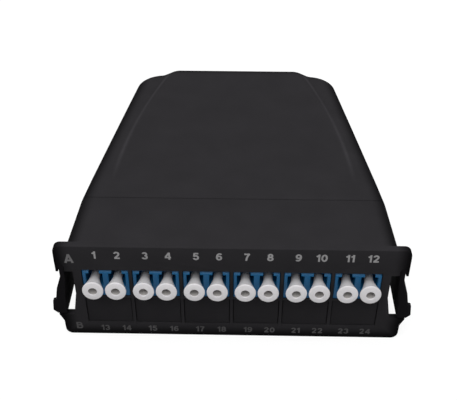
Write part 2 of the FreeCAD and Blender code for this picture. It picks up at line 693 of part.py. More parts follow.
def screw_places():
    """Return the four cover screws' X and Y, set in from the sides and from the two ends."""
    rows = [("shell_front + screw_front_run", "screw_front_side"),
            ("body_depth - screw_rear_run", "screw_rear_side")]
    return [(f"{sign} * ({side_at(y)} - {inset})", y) for y, inset in rows for sign in ("-1", "1")]


def common(name, base, tool):
    """Keep what two objects share."""
    shared = doc.addObject("Part::Common", name)
    shared.Base = base
    shared.Tool = tool
    return shared


def make_top_cover():
    """Make the upper shell: rounded plan, sloping shoulders, an even wall, tongue and bosses."""
    prism = new_body("cover_prism")
    add_prism(prism, "parting_z", "plate_height")
    top, front = number("plate_height"), number("shell_front")
    fillet(prism, "edge_radius", lambda middle, _: middle.z > top - 0.01 and middle.y > front + 0.01)
    blank = common("cover_blank", prism, make_shoulder_form("shoulder_form"))
    lip = "shell_front + tongue_root"
    core = new_body("cover_core")
    add_prism(core, "parting_z - 1", "plate_height - wall", "wall", lip)
    hollow = common("cover_hollow", core, make_shoulder_form("shoulder_core", "wall"))
    ledge = "plate_height - wall - tongue_gap - tongue_thick"
    mouth = solid_box("cover_mouth", "-seam_width / 2 + wall", "seam_y", "parting_z - 1",
                      "seam_width - 2 * wall", "tongue_root + 1", f"{ledge} - parting_z + 1")
    half = taper("seam_y", "wall + tongue_side")
    tongue = solid_box("cover_tongue", f"-({half})", "seam_y - tongue_reach", ledge,
                       f"2 * ({half})", "tongue_reach + tongue_root / 2", "tongue_thick")
    deep = "screw_length + head_recess + screw_head_high / 2 + pilot_room - boss_top + 1"
    bosses, pilots = [], []
    for index, (x, y) in enumerate(screw_places(), start=1):
        bosses.append(round_bar(f"cover_boss_{index}", "boss_radius", "plate_height - boss_top",
                                x, y, "boss_top", along="Z"))
        pilots.append(round_bar(f"cover_pilot_{index}", "cover_screw", deep, x, y, "boss_top - 1", along="Z"))
    posts = common("cover_posts", fuse("cover_bosses", bosses), blank)
    shell = cut("cover_shell", blank, fuse("cover_voids", [hollow, mouth]))
    return cut("top_cover", fuse("cover_solid", [shell, tongue, posts]), fuse("cover_pilots", pilots))


def hollow_tray(body):
    """Turn the tray's block into a shell that is open at its top and towards the collar."""
    top, front = number("parting_z"), number("shell_front")
    block = body.Tip
    opened = [f"Face{index}" for index, face in enumerate(block.Shape.Faces, start=1)
              if face.BoundBox.ZMin > top - 0.01 or face.BoundBox.YMax < front + 0.01]
    shell = body.newObject("PartDesign::Thickness", "base_tray_shell")
    shell.Base = (block, opened)
    shell.setExpression("Value", bound("wall"))
    shell.Reversed = True
    settle(shell)


def make_base_tray():
    """Make the lower shell: floor, walls, tongue, bosses, fibre guide and rear port opening."""
    body = new_body("base_tray")
    add_prism(body, "0", "parting_z")
    hollow_tray(body)
    front = number("shell_front")
    fillet(body, "foot_radius", lambda middle, _: middle.z < 0.01 and middle.y > front + 0.01)
    sketch = new_sketch(body, "XY_Plane", "wall + tongue_gap")
    half = taper("seam_y", "wall + tongue_side")
    near, far = "seam_y - tongue_reach", "shell_front + tongue_root"
    draw_outline(sketch, [(f"-({half})", near), (half, near), (half, far), (f"-({half})", far)])
    pad(body, sketch, "tongue_thick")
    sketch = new_sketch(body, "XY_Plane", "wall")
    draw_rectangle(sketch, "0", "shell_front + tongue_root / 2", f"2 * ({half})", "tongue_root")
    pad(body, sketch, "tongue_gap")
    sketch = new_sketch(body, "XY_Plane", "wall")
    for x, y in screw_places():
        draw_circle(sketch, x, y, "boss_radius")
    pad(body, sketch, "boss_top - wall")
    sketch = new_sketch(body, "XY_Plane", "wall")
    draw_circle(sketch, "0", "shell_front + guide_run", "guide_radius")
    draw_circle(sketch, "0", "shell_front + guide_run", "guide_radius - guide_wall")
    pad(body, sketch, "guide_high")
    sketch = new_sketch(body, "XY_Plane")
    for x, y in screw_places():
        draw_circle(sketch, x, y, "cover_screw + screw_play")
    pocket(body, sketch, "boss_top", reverse=True)
    sketch = new_sketch(body, "XY_Plane")
    for x, y in screw_places():
        draw_circle(sketch, x, y, "screw_head + screw_play")
    pocket(body, sketch, "screw_head_high + head_recess", reverse=True)
    sketch = new_sketch(body, "XZ_Plane", "-body_depth")
    draw_rectangle(sketch, "0", "mpo_z", "mpo_width + 2 * window_play", "mpo_high + 2 * window_play")
    pocket(body, sketch, "wall", reverse=True)
    sketch = new_sketch(body, "XZ_Plane", "-body_depth")
    for sign in ("-1", "1"):
        draw_circle(sketch, f"{sign} * mpo_screw_pitch / 2", "mpo_z", "small_screw")
    pocket(body, sketch, "wall", reverse=True)
    return body


# ---------------------------------------------------------------- rear port and fibres

def make_mpo_adapter():
    """Make the rear adapter. Its own origin is on the rear wall's outer face, on the port's axis."""
    body = new_body("mpo_adapter", "0", "body_depth", "mpo_z")
    sketch = new_sketch(body, "XZ_Plane", "mpo_in")
    draw_rectangle(sketch, "0", "0", "mpo_width", "mpo_high")
    pad(body, sketch, "mpo_in + mpo_out", reverse=True)
    sketch = new_sketch(body, "XZ_Plane")
    draw_rectangle(sketch, "0", "0", "mpo_flange_width", "mpo_flange_high")
    pad(body, sketch, "mpo_flange_thick", reverse=True)
    half, high = number("mpo_flange_width / 2"), number("mpo_flange_high / 2")
    fillet(body, "mpo_corner",
           lambda middle, _: abs(abs(middle.x) - half) < 0.01 and abs(abs(middle.z) - high) < 0.01)
    for face, reverse in (("mpo_in", False), ("-mpo_out", True)):
        sketch = new_sketch(body, "XZ_Plane", face)
        draw_rectangle(sketch, "0", "0", "mpo_port_width", "mpo_port_high")
        pocket(body, sketch, "mpo_port_deep", reverse)
        sketch = new_sketch(body, "XZ_Plane", face)
        draw_rectangle(sketch, "0", "mpo_port_high / 2", "mpo_key_width", "2 * mpo_key_high")
        pocket(body, sketch, "mpo_port_deep", reverse)
    sketch = new_sketch(body, "XZ_Plane", "mpo_in")
    draw_rectangle(sketch, "0", "0", "mpo_throat_width", "mpo_throat_high")
    pocket(body, sketch, "mpo_in + mpo_out")
    sketch = new_sketch(body, "XZ_Plane")
    for sign in ("-1", "1"):
        draw_circle(sketch, f"{sign} * mpo_screw_pitch / 2", "0", "small_screw + screw_play")
    pocket(body, sketch, "mpo_flange_thick")
    return body


def make_mpo_dust_cap():
    """Make the rear port's dust cap: a hollow plug with a ribbed grip."""
    body = new_body("mpo_dust_cap", "0", "body_depth + mpo_out", "mpo_z")
    wide, high = "mpo_port_width - 2 * window_play", "mpo_port_high - 2 * window_play"
    sketch = new_sketch(body, "XZ_Plane", "mpo_port_deep - mpo_end_room")
    draw_rectangle(sketch, "0", "0", wide, high)
    pad(body, sketch, "mpo_port_deep - mpo_end_room + window_play", reverse=True)
    sketch = new_sketch(body, "XZ_Plane", "mpo_port_deep - mpo_end_room")
    draw_rectangle(sketch, "0", "0", f"{wide} - 2 * mpo_cap_wall", f"{high} - 2 * mpo_cap_wall")
    pocket(body, sketch, "mpo_port_deep - mpo_end_room - mpo_cap_wall")
    sketch = new_sketch(body, "XZ_Plane", "-window_play")
    draw_rectangle(sketch, "0", "0", "mpo_width", "mpo_high")
    pad(body, sketch, "mpo_cap_grip", reverse=True)
    half, high_edge = number("mpo_width / 2"), number("mpo_high / 2")
    fillet(body, "mpo_cap_corner",
           lambda middle, _: abs(abs(middle.x) - half) < 0.01 and abs(abs(middle.z) - high_edge) < 0.01)
    for groove in range(1, 4):
        sketch = new_sketch(body, "XZ_Plane", f"-window_play - {groove} * groove_pitch")
        for side in ("-0.5", "0.5"):
            draw_rectangle(sketch, "0", f"{side} * mpo_high", "mpo_width + 1", "2 * groove_deep")
        pocket(body, sketch, "groove_width", reverse=True)
    return body


def make_mpo_plug():
    """Make the plug inside the rear adapter, with its stepped body and tapered boot."""
    body = new_body("mpo_plug", "0", "body_depth - mpo_in", "mpo_z")
    sketch = new_sketch(body, "XZ_Plane", "mpo_end_room - mpo_port_deep")
    draw_rectangle(sketch, "0", "0", "mpo_port_width - 2 * window_play", "mpo_port_high - 2 * window_play")
    pad(body, sketch, "mpo_port_deep - mpo_end_room + mpo_plug_nose")
    sketch = new_sketch(body, "XZ_Plane", "mpo_plug_gap")
    draw_rectangle(sketch, "0", "0", "mpo_plug_width", "mpo_plug_high")
    pad(body, sketch, "mpo_plug_body - mpo_plug_gap")
    wide = new_sketch(body, "XZ_Plane", "mpo_plug_body")
    draw_rectangle(wide, "0", "0", "mpo_boot_width", "mpo_boot_high")
    narrow = new_sketch(body, "XZ_Plane", "mpo_plug_body + mpo_boot")
    draw_rectangle(narrow, "0", "0", f"leg_pitch * {PORTS}", "mpo_tail_high")
    doc.recompute()
    boot = body.newObject("PartDesign::AdditiveLoft", "mpo_boot_loft")
    boot.Profile = wide
    boot.Sections = [narrow]
    settle(boot)
    return body


def make_mpo_screws():
    """Make the two screws through the rear adapter's flange."""
    screws = []
    for index, sign in enumerate(("-1", "1"), start=1):
        x = f"{sign} * mpo_screw_pitch / 2"
        shank = round_bar(f"mpo_shank_{index}", "small_screw", "mpo_flange_thick + wall",
                          x, "body_depth - wall", "mpo_z")
        head = round_bar(f"mpo_head_{index}", "small_head", "small_head_high",
                         x, "body_depth + mpo_flange_thick", "mpo_z")
        screws.append(fuse(f"mpo_screw_{index}", [shank, head]))
    return group("mpo_screws", screws)


def make_cover_screws():
    """Make the four screws that join base and cover from below."""
    screws = []
    for index, (x, y) in enumerate(screw_places(), start=1):
        shank = round_bar(f"cover_shank_{index}", "cover_screw", "screw_length",
                          x, y, "head_recess + screw_head_high / 2", along="Z")
        head = round_bar(f"cover_head_{index}", "screw_head", "screw_head_high",
                         x, y, "head_recess", along="Z")
        screws.append(fuse(f"cover_screw_{index}", [shank, head]))
    return group("cover_screws", screws)


def leg_route(port):
    """Return the points of one leg, an S from the rear plug's boot to an LC plug's boot."""
    start = FreeCAD.Vector(number(port_x(port)),
                           number("adapter_inset + adapter_length - plug_in + plug_body + boot_length"),
                           number("row_a_z + port_rise"))
    stop = FreeCAD.Vector((port - (PORTS - 1) / 2) * number("leg_pitch"),
                          number("body_depth - mpo_in - mpo_plug_body - mpo_boot"), number("mpo_z"))
    lead = FreeCAD.Vector(0, number("leg_lead"), 0)
    return [start, start + lead, stop - lead, stop]


def tangent_wire(points):
    """Return a wire of straight runs joined by tangent arcs through a list of points."""
    edges = []
    start = points[0]
    for before, corner, after in zip(points, points[1:], points[2:]):
        back, ahead = before - corner, after - corner
        trim = 0.45 * min(back.Length, ahead.Length)
        back.normalize()
        ahead.normalize()
        enter, leave = corner + back * trim, corner + ahead * trim
        half_turn = (math.pi - back.getAngle(ahead)) / 2
        radius = trim / math.tan(half_turn)
        centre = corner + (back + ahead).normalize() * (radius / math.cos(half_turn))
        middle = centre + (corner - centre).normalize() * radius
        edges.append(Part.LineSegment(start, enter).toShape())
        edges.append(Part.Arc(enter, middle, leave).toShape())
        start = leave
    edges.append(Part.LineSegment(start, points[-1]).toShape())
    return Part.Wire(edges)


def make_fan_out_fibres():
    """Make the twelve legs, each a six-sided bar swept along its own route."""
    legs = []
    for port in range(PORTS):
        wire = tangent_wire(leg_route(port))
        start, radius = wire.Edges[0].valueAt(0), number("leg_radius")
        turns = [math.radians(60 * side) for side in range(7)]
        ring = [start + FreeCAD.Vector(radius * math.cos(turn), 0, radius * math.sin(turn)) for turn in turns]
        legs.append(wire.makePipe(Part.Face(Part.makePolygon(ring))))
    feature = doc.addObject("Part::Feature", "fan_out_fibres")
    feature.Label = "fan_out_fibres"
    feature.Shape = Part.makeCompound(legs)
    return feature


def build():
    """Build every sub-part and return them in order."""
    parts = [make_front_bezel(), make_retainer_frame(), make_base_tray(), make_top_cover(),
             make_latch("latch_left", "-1"), make_latch("latch_right", "1")]
    for duplex in range(DUPLEXES):
        parts.append(make_adapter(f"lc_adapter_{duplex + 1}", duplex))
        parts.append(make_blank(f"blank_plug_{duplex + 1}", duplex))
    for port in range(PORTS):
        parts.append(make_dust_cap(f"dust_cap_{port + 1:02d}", port))
        parts.append(make_lc_plug(f"lc_plug_{port + 1:02d}", port))
    parts += [make_sleeves(), make_mpo_adapter(), make_mpo_plug(), make_mpo_dust_cap(), make_mpo_screws(),
              make_cover_screws(), make_fan_out_fibres()]
    doc.recompute()
    return parts


def export(parts):
    """Check every object and each sub-part's shape, then write one file per sub-part."""
    broken = [item.Name for item in doc.Objects if "Invalid" in item.State or "Error" in item.State]
    if broken:
        raise RuntimeError(f"failed objects: {broken}")
    for part in parts:
        if part.Shape.isNull() or not part.Shape.isValid():
            raise RuntimeError(f"{part.Label} has no valid shape")
    os.makedirs("parts", exist_ok=True)
    for part in parts:
        part.Shape.exportStep(f"parts/{part.Label}.step")
        print(f"{part.Label}: {len(part.Shape.Solids)} solid(s), {part.Shape.Volume:.1f} mm3")


export(build())
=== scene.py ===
"""Fibre cassette: the finish of every surface, the printed port numbers, the lights and the camera.

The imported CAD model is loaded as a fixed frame. Nodes whose form is complete keep it and get
a material. Nodes that need soft edges or a finer surface are replaced by a piece made here.
Everything is in metres in the frame's own axes: X right, Y rearward, Z up.
"""

import logging
import math
from dataclasses import dataclass
from enum import Enum
from typing import Callable, Iterable

import bmesh
import bpy
import numpy as np
from mathutils import Matrix, Vector


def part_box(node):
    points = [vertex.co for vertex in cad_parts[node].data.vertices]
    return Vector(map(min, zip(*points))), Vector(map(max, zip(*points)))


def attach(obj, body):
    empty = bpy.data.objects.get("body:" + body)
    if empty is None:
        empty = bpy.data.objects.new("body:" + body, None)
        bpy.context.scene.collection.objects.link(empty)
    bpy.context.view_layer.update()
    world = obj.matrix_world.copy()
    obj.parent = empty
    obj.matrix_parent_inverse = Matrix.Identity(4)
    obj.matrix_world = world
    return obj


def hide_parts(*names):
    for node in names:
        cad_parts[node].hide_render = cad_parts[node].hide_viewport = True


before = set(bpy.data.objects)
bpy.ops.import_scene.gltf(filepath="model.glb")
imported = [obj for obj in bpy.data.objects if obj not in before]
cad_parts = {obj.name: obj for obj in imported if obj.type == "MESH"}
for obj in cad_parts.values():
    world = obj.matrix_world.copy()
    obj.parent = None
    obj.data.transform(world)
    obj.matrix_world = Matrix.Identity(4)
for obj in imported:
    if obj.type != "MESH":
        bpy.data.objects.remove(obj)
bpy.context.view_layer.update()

Tree = bpy.types.NodeTree
Socket = bpy.types.NodeSocket
MM = 0.001
DUPLEXES = 6
PORTS = 2 * DUPLEXES
log = logging.getLogger("cassette")


# ---------------------------------------------------------------- colour and node helpers

def linear(hex_colour: str) -> tuple[float, float, float, float]:
    """Turn an sRGB hex colour into linear red, green, blue and alpha.

    Args:
        hex_colour: six hex digits, such as "2b2a2c".

    Returns:
        The linear colour with an alpha of 1.
    """
    values = np.array([int(hex_colour[place:place + 2], 16) / 255 for place in (0, 2, 4)])
    curve = np.where(values <= 0.04045, values / 12.92, ((values + 0.055) / 1.055) ** 2.4)
    return (*map(float, curve), 1.0)


def add_node(tree: Tree, kind: str, inputs: dict | None = None, **settings) -> bpy.types.Node:
    """Add one node, set its properties and fill or link its inputs.

    Args:
        tree: the node tree to add to.
        kind: the node's type name.
        inputs: input name or number to a value, or to an output socket to link from.
        settings: properties of the node itself.

    Returns:
        The new node.
    """
    node = tree.nodes.new(kind)
    for name, value in settings.items():
        setattr(node, name, value)
    for key, value in (inputs or {}).items():
        if isinstance(value, Socket):
            tree.links.new(value, node.inputs[key])
        else:
            node.inputs[key].default_value = value
    return node


def remapped(tree: Tree, value: Socket, span: tuple[float, float],
             onto: tuple[float, float], kind: str = "LINEAR") -> Socket:
    """Carry a value from one span onto another, held at both ends.

    Args:
        tree: the node tree to add to.
        value: the socket to read.
        span: the value's two ends.
        onto: what the result is at each of them.
        kind: "LINEAR", or "SMOOTHSTEP" for a cubic that is level at both ends.

    Returns:
        The socket with the result.
    """
    return add_node(tree, "ShaderNodeMapRange", {
        "Value": value, "From Min": span[0], "From Max": span[1], "To Min": onto[0], "To Max": onto[1]},
        interpolation_type=kind).outputs[0]


def reckoned(tree: Tree, operation: str, first: Socket | float, second: Socket | float = 0.0) -> Socket:
    """Reckon with one or two values.

    Args:
        tree: the node tree to add to.
        operation: the math node's operation, such as "MINIMUM".
        first: a socket or a number.
        second: the other one, where the operation takes two.

    Returns:
        The socket with the result.
    """
    return add_node(tree, "ShaderNodeMath", {0: first, 1: second}, operation=operation).outputs[0]


# ---------------------------------------------------------------- finishes

# The span that a noise mostly keeps to, the size of the clouds, and how much they vary the roughness.
NOISE_SPAN = (0.3, 0.7)
CLOUD_MM = 9.0
ROUGH_SPREAD = 0.03


class Gloss(Enum):
    """How a moulded surface was finished in its tool, as typical roughness."""

    SPARKED = 0.85
    SATIN = 0.45
    POLISHED = 0.22


@dataclass(frozen=True)
class Finish:
    """What a surface is made of, as a node material on Object coordinates.

    Attributes:
        name: the material's name.
        colour: its colour, in sRGB hex.
    """

    name: str
    colour: str

    def wire(self, tree: Tree, shader: bpy.types.Node, place: Socket) -> None:
        """Set the shader's inputs; each kind of finish has its own.

        Args:
            tree: the material's node tree.
            shader: its Principled node.
            place: the point's place on the object, in metres.
        """
        raise NotImplementedError

    def noise(self, tree: Tree, place: Socket, size_mm: float, detail: float) -> Socket:
        """Return a noise of one size, in millimetres, and detail."""
        settings = {"Vector": place, "Scale": 1 / (size_mm * MM), "Detail": detail}
        return add_node(tree, "ShaderNodeTexNoise", settings).outputs["Fac"]

    def material(self) -> bpy.types.Material:
        """Make the material, or return the one already made."""
        found = bpy.data.materials.get(self.name)
        if found:
            return found
        made = bpy.data.materials.new(self.name)
        made.use_nodes = True
        tree = made.node_tree
        self.wire(tree, tree.nodes["Principled BSDF"], add_node(tree, "ShaderNodeTexCoord").outputs["Object"])
        return made


@dataclass(frozen=True)
class Moulded(Finish):
    """An injection moulded plastic: one pigment, a tool texture and slight cloudiness.

    The tool's texture is the fine grain left by spark erosion. It breaks up highlights
    and is what makes a dark plastic look grey at a low angle.

    Attributes:
        gloss: how its tool was finished.
        grain_mm, grain_depth_mm: size and depth of the grain.
        cloud: how far the pigment's strength strays each way, as a share.
        ior: refractive index.
        shine: strength of what the surface mirrors, where 0.5 is a clean, smooth skin.
        translucency: share of the light that goes through the skin and comes out nearby.
    """

    gloss: Gloss
    grain_mm: float = 0.25
    grain_depth_mm: float = 0.01
    cloud: float = 0.06
    ior: float = 1.5
    shine: float = 0.5
    translucency: float = 0.0

    def shade(self, tree: Tree, place: Socket, strength: Socket) -> Socket:
        """Return the pigment's strength at each point: a plain moulding leaves it as it is.

        Args:
            tree: the material's node tree.
            place: the point's place on the object, in metres.
            strength: the pigment's strength before any shading.

        Returns:
            The strength to use.
        """
        return strength

    def wire(self, tree: Tree, shader: bpy.types.Node, place: Socket) -> None:
        """Cloud the pigment and the roughness, and raise the grain; see Finish.wire."""
        cloud = self.noise(tree, place, CLOUD_MM, 3.0)
        tone = remapped(tree, cloud, NOISE_SPAN, (1 - self.cloud, 1 + self.cloud))
        pigment = add_node(tree, "ShaderNodeVectorMath", {
            0: linear(self.colour)[:3], "Scale": self.shade(tree, place, tone)}, operation="SCALE")
        tree.links.new(pigment.outputs["Vector"], shader.inputs["Base Color"])
        usual = self.gloss.value
        rough = remapped(tree, cloud, NOISE_SPAN, (usual - ROUGH_SPREAD, usual + ROUGH_SPREAD))
        tree.links.new(rough, shader.inputs["Roughness"])
        bump = add_node(tree, "ShaderNodeBump", {
            "Height": self.noise(tree, place, self.grain_mm, 2.0), "Strength": 1.0,
            "Distance": self.grain_depth_mm * MM})
        tree.links.new(bump.outputs["Normal"], shader.inputs["Normal"])
        shader.inputs["IOR"].default_value = self.ior
        shader.inputs["Specular IOR Level"].default_value = self.shine
        if self.translucency:
            shader.inputs["Subsurface Weight"].default_value = self.translucency
            shader.inputs["Subsurface Radius"].default_value = (1.0, 0.9, 0.8)
            shader.inputs["Subsurface Scale"].default_value = 0.6 * MM


@dataclass(frozen=True)
class PortShadedMoulded(Moulded):
    """A soft plastic with painted shade: greyer towards the pin, where the stem goes into the port.

    Attributes:
        shade_start_mm: where along Y the painted shade starts.
        shade_full_mm: where the painted shade is full.
        shaded_share: the pigment's strength that is left there.
    """

    shade_start_mm: float = 0.0
    shade_full_mm: float = 0.0
    shaded_share: float = 0.5

    def shade(self, tree: Tree, place: Socket, strength: Socket) -> Socket:
        """Paint shade: weaken the pigment along Y, on a smooth step between two places; see Moulded.shade."""
        depth = add_node(tree, "ShaderNodeSeparateXYZ", {0: place}).outputs["Y"]
        shade_span = (self.shade_start_mm * MM, self.shade_full_mm * MM)
        share = remapped(tree, depth, shade_span, (1.0, self.shaded_share), "SMOOTHSTEP")
        return reckoned(tree, "MULTIPLY", strength, share)


@dataclass(frozen=True)
class ShellBlack(Moulded):
    """Black ABS with painted shade: its pigment gets a deeper black towards the moulding's outline.

    Where the mesh carries the attribute "painted_crease_highlight", the surface is lighter: a painted
    highlight.

    Attributes:
        near: a place along Y and half the outline's width there, in millimetres.
        far: the same at the moulding's other end.
        lip: how far a faceplate stands out past that outline on each side.
        lip_end: where along Y the faceplate ends.
        rear: where along Y the rear wall is; 0 where the moulding has none.
        band: width of the band of painted shade.
        depth: share of the pigment that the painted shade takes away at the outline on the upper edges and
            the faceplate.
        wall_depth: the same low on the side walls.
        wall_span: heights between which one share goes over into the other.
    """

    near: tuple[float, float] = (0.0, 0.0)
    far: tuple[float, float] = (0.0, 0.0)
    lip: float = 0.0
    lip_end: float = 2.0
    rear: float = 0.0
    band: float = 4.6
    depth: float = 0.85
    wall_depth: float = 0.2
    wall_span: tuple[float, float] = (24.0, 31.0)

    def on_faceplate(self, tree: Tree, along: Socket, front: float, behind: float) -> Socket:
        """Return one value on the faceplate and another behind it, from the place along Y."""
        change = 0.1
        span = ((self.lip_end - change) * MM, (self.lip_end + change) * MM)
        return remapped(tree, along, span, (front, behind))

    def inland(self, tree: Tree, axes: bpy.types.bpy_prop_collection) -> Socket:
        """Return the distance to the outline, in metres.

        Half the outline's width runs straight between two places along Y. A faceplate adds
        its lip to it, and has its lower edge as outline too. A cover has its rear wall.

        Args:
            tree: the material's node tree.
            axes: the point's place on the object, one socket an axis.
        """
        half = remapped(tree, axes["Y"], (self.near[0] * MM, self.far[0] * MM),
                        (self.near[1] * MM, self.far[1] * MM))
        if self.lip:
            half = reckoned(tree, "ADD", half, self.on_faceplate(tree, axes["Y"], self.lip * MM, 0.0))
        gap = reckoned(tree, "SUBTRACT", half, reckoned(tree, "ABSOLUTE", axes["X"]))
        if self.lip:
            far_off = 1.0
            lower_edge = reckoned(tree, "ADD", axes["Z"], self.on_faceplate(tree, axes["Y"], 0.0, far_off))
            gap = reckoned(tree, "MINIMUM", gap, lower_edge)
        if self.rear:
            gap = reckoned(tree, "MINIMUM", gap, reckoned(tree, "SUBTRACT", self.rear * MM, axes["Y"]))
        return gap

    def shade(self, tree: Tree, place: Socket, strength: Socket) -> Socket:
        """Paint shade that falls from the outline inwards on a smooth step, and the painted crease highlight;
        see Moulded.shade.
        """
        axes = add_node(tree, "ShaderNodeSeparateXYZ", {0: place}).outputs
        # Painted shade: the pigment darkens towards the outline.
        painted_rim_shade = remapped(tree, self.inland(tree, axes), (0.0, self.band * MM), (1.0, 0.0), "SMOOTHSTEP")
        heights = (self.wall_span[0] * MM, self.wall_span[1] * MM)
        lost = remapped(tree, axes["Z"], heights, (self.wall_depth, self.depth))
        if self.lip:
            lost = reckoned(tree, "MAXIMUM", lost, self.on_faceplate(tree, axes["Y"], self.depth, 0.0))
        left = reckoned(tree, "SUBTRACT", 1.0, reckoned(tree, "MULTIPLY", painted_rim_shade, lost))
        # Painted highlight: lighter along the cover's crease, where the mesh carries it.
        painted_crease_highlight = add_node(tree, "ShaderNodeAttribute", attribute_name="painted_crease_highlight").outputs["Fac"]
        rim_shaded_strength = reckoned(tree, "MULTIPLY", strength, left)
        return reckoned(tree, "MULTIPLY", rim_shaded_strength, reckoned(tree, "ADD", 1.0, painted_crease_highlight))


@dataclass(frozen=True)
class PlatedSteel(Finish):
    """Zinc plated screw steel: bright, with a faint turned grain round the head.

    Attributes:
        grain_mm: size of the grain.
        roughness: the two ends between which the grain varies it.
    """

    grain_mm: float = 0.3
    roughness: tuple[float, float] = (0.24, 0.44)

    def wire(self, tree: Tree, shader: bpy.types.Node, place: Socket) -> None:
        """Vary the metal's roughness with its grain; see Finish.wire."""
        shader.inputs["Base Color"].default_value = linear(self.colour)
        shader.inputs["Metallic"].default_value = 1.0
        grain = self.noise(tree, place, self.grain_mm, 4.0)
        tree.links.new(remapped(tree, grain, (0.0, 1.0), self.roughness), shader.inputs["Roughness"])


# Black ABS with a spark-eroded face: deep grey, with hardly any highlight.
BLACK_ABS = Moulded("black_abs_spark_eroded", "252426", Gloss.SPARKED, shine=0.03)
# The same ABS on the two mouldings that make the outline, with painted shade: a deeper black towards their
# edges.
BLACK_BEZEL = ShellBlack("black_abs_bezel", "2a292b", Gloss.SPARKED, shine=0.008,
                         near=(2.0, 44.8), far=(21.1, 43.75), lip=3.3)
BLACK_COVER = ShellBlack("black_abs_cover", "2a292b", Gloss.SPARKED, shine=0.008,
                         near=(21.35, 43.75), far=(96.3, 34.0), rear=96.3)
# Black acetal of the spring arms: matt; its pigment is the deepest black of all, darkened to paint in the
# shade the arms lie in.
BLACK_SPRING = Moulded("black_acetal_spring", "131214", Gloss.SPARKED, shine=0.02)
# Black ABS from a smoother tool, on the rear port and the frame inside: a soft sheen.
BLACK_SATIN = Moulded("black_abs_satin", "121113", Gloss.SATIN, grain_depth_mm=0.006, shine=0.04)
# Blue PBT of the adapters: a deep, even blue with a soft sheen.
BLUE_PBT = Moulded("blue_pbt_polished", "0e527c", Gloss.SATIN, grain_depth_mm=0.003, cloud=0.04, shine=0.25)
# Soft white polyethylene of push-in caps: waxy, with painted shade that makes it greyer towards the pin,
# where the stem goes into the port.
WHITE_PE = PortShadedMoulded("white_polyethylene", "d0ced0", Gloss.SATIN, grain_depth_mm=0.003, cloud=0.015,
                      translucency=0.1, shine=0.3, shade_start_mm=-2.6, shade_full_mm=1.2, shaded_share=0.48)
# The same plastic inside a cap's blind hole: a darker grey that is painted shade, and a rougher finish.
BORE_SHADE_PE = Moulded("white_polyethylene_bore_shade", "9b9896", Gloss.SPARKED, grain_depth_mm=0.003, cloud=0.05)
# Pad-printed grey ink: matt, a little uneven.
INK_BRIGHT = Moulded("grey_pad_ink", "8f8e8f", Gloss.SPARKED, grain_depth_mm=0.004, cloud=0.12, shine=0.1)
# The same ink in a darker grey.
INK_DIM = Moulded("grey_pad_ink_darker", "6b6a6b", Gloss.SPARKED, grain_depth_mm=0.004, cloud=0.16, shine=0.1)
# And darker still, nearly lost on the black.
INK_FAINT = Moulded("grey_pad_ink_faint", "474647", Gloss.SPARKED, grain_depth_mm=0.004, cloud=0.2, shine=0.1)
# Zirconia of the split sleeves: a glassy, warm white ceramic.
ZIRCONIA = Moulded("zirconia_ceramic", "e9e8e2", Gloss.POLISHED, grain_depth_mm=0.001, ior=2.1)
# White PBT of the inner plugs: clean, with a soft sheen.
PLUG_WHITE = Moulded("plug_pbt", "d4d6d8", Gloss.SATIN, grain_depth_mm=0.003)
# Buffer tube of the fibres inside: a warm yellow.
FIBRE_YELLOW = Moulded("fibre_buffer_pvc", "c8a83a", Gloss.SATIN, grain_depth_mm=0.002)
# Zinc plating of the screws: bright and cool.
STEEL = PlatedSteel("zinc_plated_steel", "b9bcc0")


# ---------------------------------------------------------------- mesh helpers

def dress(item: bpy.types.Object, finish: Finish) -> None:
    """Give an object one material in place of all it had.

    Args:
        item: the object.
        finish: what its surface is made of.
    """
    item.data.materials.clear()
    item.data.materials.append(finish.material())


def link(name: str, mesh: bpy.types.Mesh) -> bpy.types.Object:
    """Put a mesh, in metres, in the scene as an object at the origin, and return the object."""
    item = bpy.data.objects.new(name, mesh)
    bpy.context.scene.collection.objects.link(item)
    return item


def grid_mesh(name: str, points: np.ndarray, closed: bool = False) -> bpy.types.Mesh:
    """Make a mesh from a grid of points.

    Args:
        name: the mesh's name.
        points: array of shape (rows, columns, 3), in metres.
        closed: join the last column to the first.

    Returns:
        A mesh of quads, smooth shaded, with doubles merged and normals pointing outwards.
    """
    rows, columns = points.shape[:2]
    index = np.arange(rows * columns).reshape(rows, columns)
    if closed:
        index = np.hstack([index, index[:, :1]])
    quads = np.stack([index[:-1, :-1], index[1:, :-1], index[1:, 1:], index[:-1, 1:]], axis=-1)
    mesh = bpy.data.meshes.new(name)
    mesh.from_pydata(points.reshape(-1, 3).tolist(), [], quads.reshape(-1, 4).tolist())
    form = bmesh.new()
    form.from_mesh(mesh)
    bmesh.ops.remove_doubles(form, verts=form.verts, dist=1e-7)
    bmesh.ops.recalc_face_normals(form, faces=form.faces)
    form.to_mesh(mesh)
    form.free()
    mesh.polygons.foreach_set("use_smooth", np.ones(len(mesh.polygons), bool))
    mesh.update()
    return mesh


def bow(centre: tuple[float, float], radii: tuple[float, float], start: float, stop: float,
        steps: int) -> list[tuple[float, float]]:
    """Return points on part of an ellipse.

    Args:
        centre: its centre.
        radii: its half axes.
        start: the angle where it starts, in degrees, counted from +X towards +Y.
        stop: the angle where it stops.
        steps: how many points it has.

    Returns:
        The points, in order.
    """
    turn = np.radians(np.linspace(start, stop, steps))
    return list(zip(centre[0] + radii[0] * np.cos(turn), centre[1] + radii[1] * np.sin(turn)))


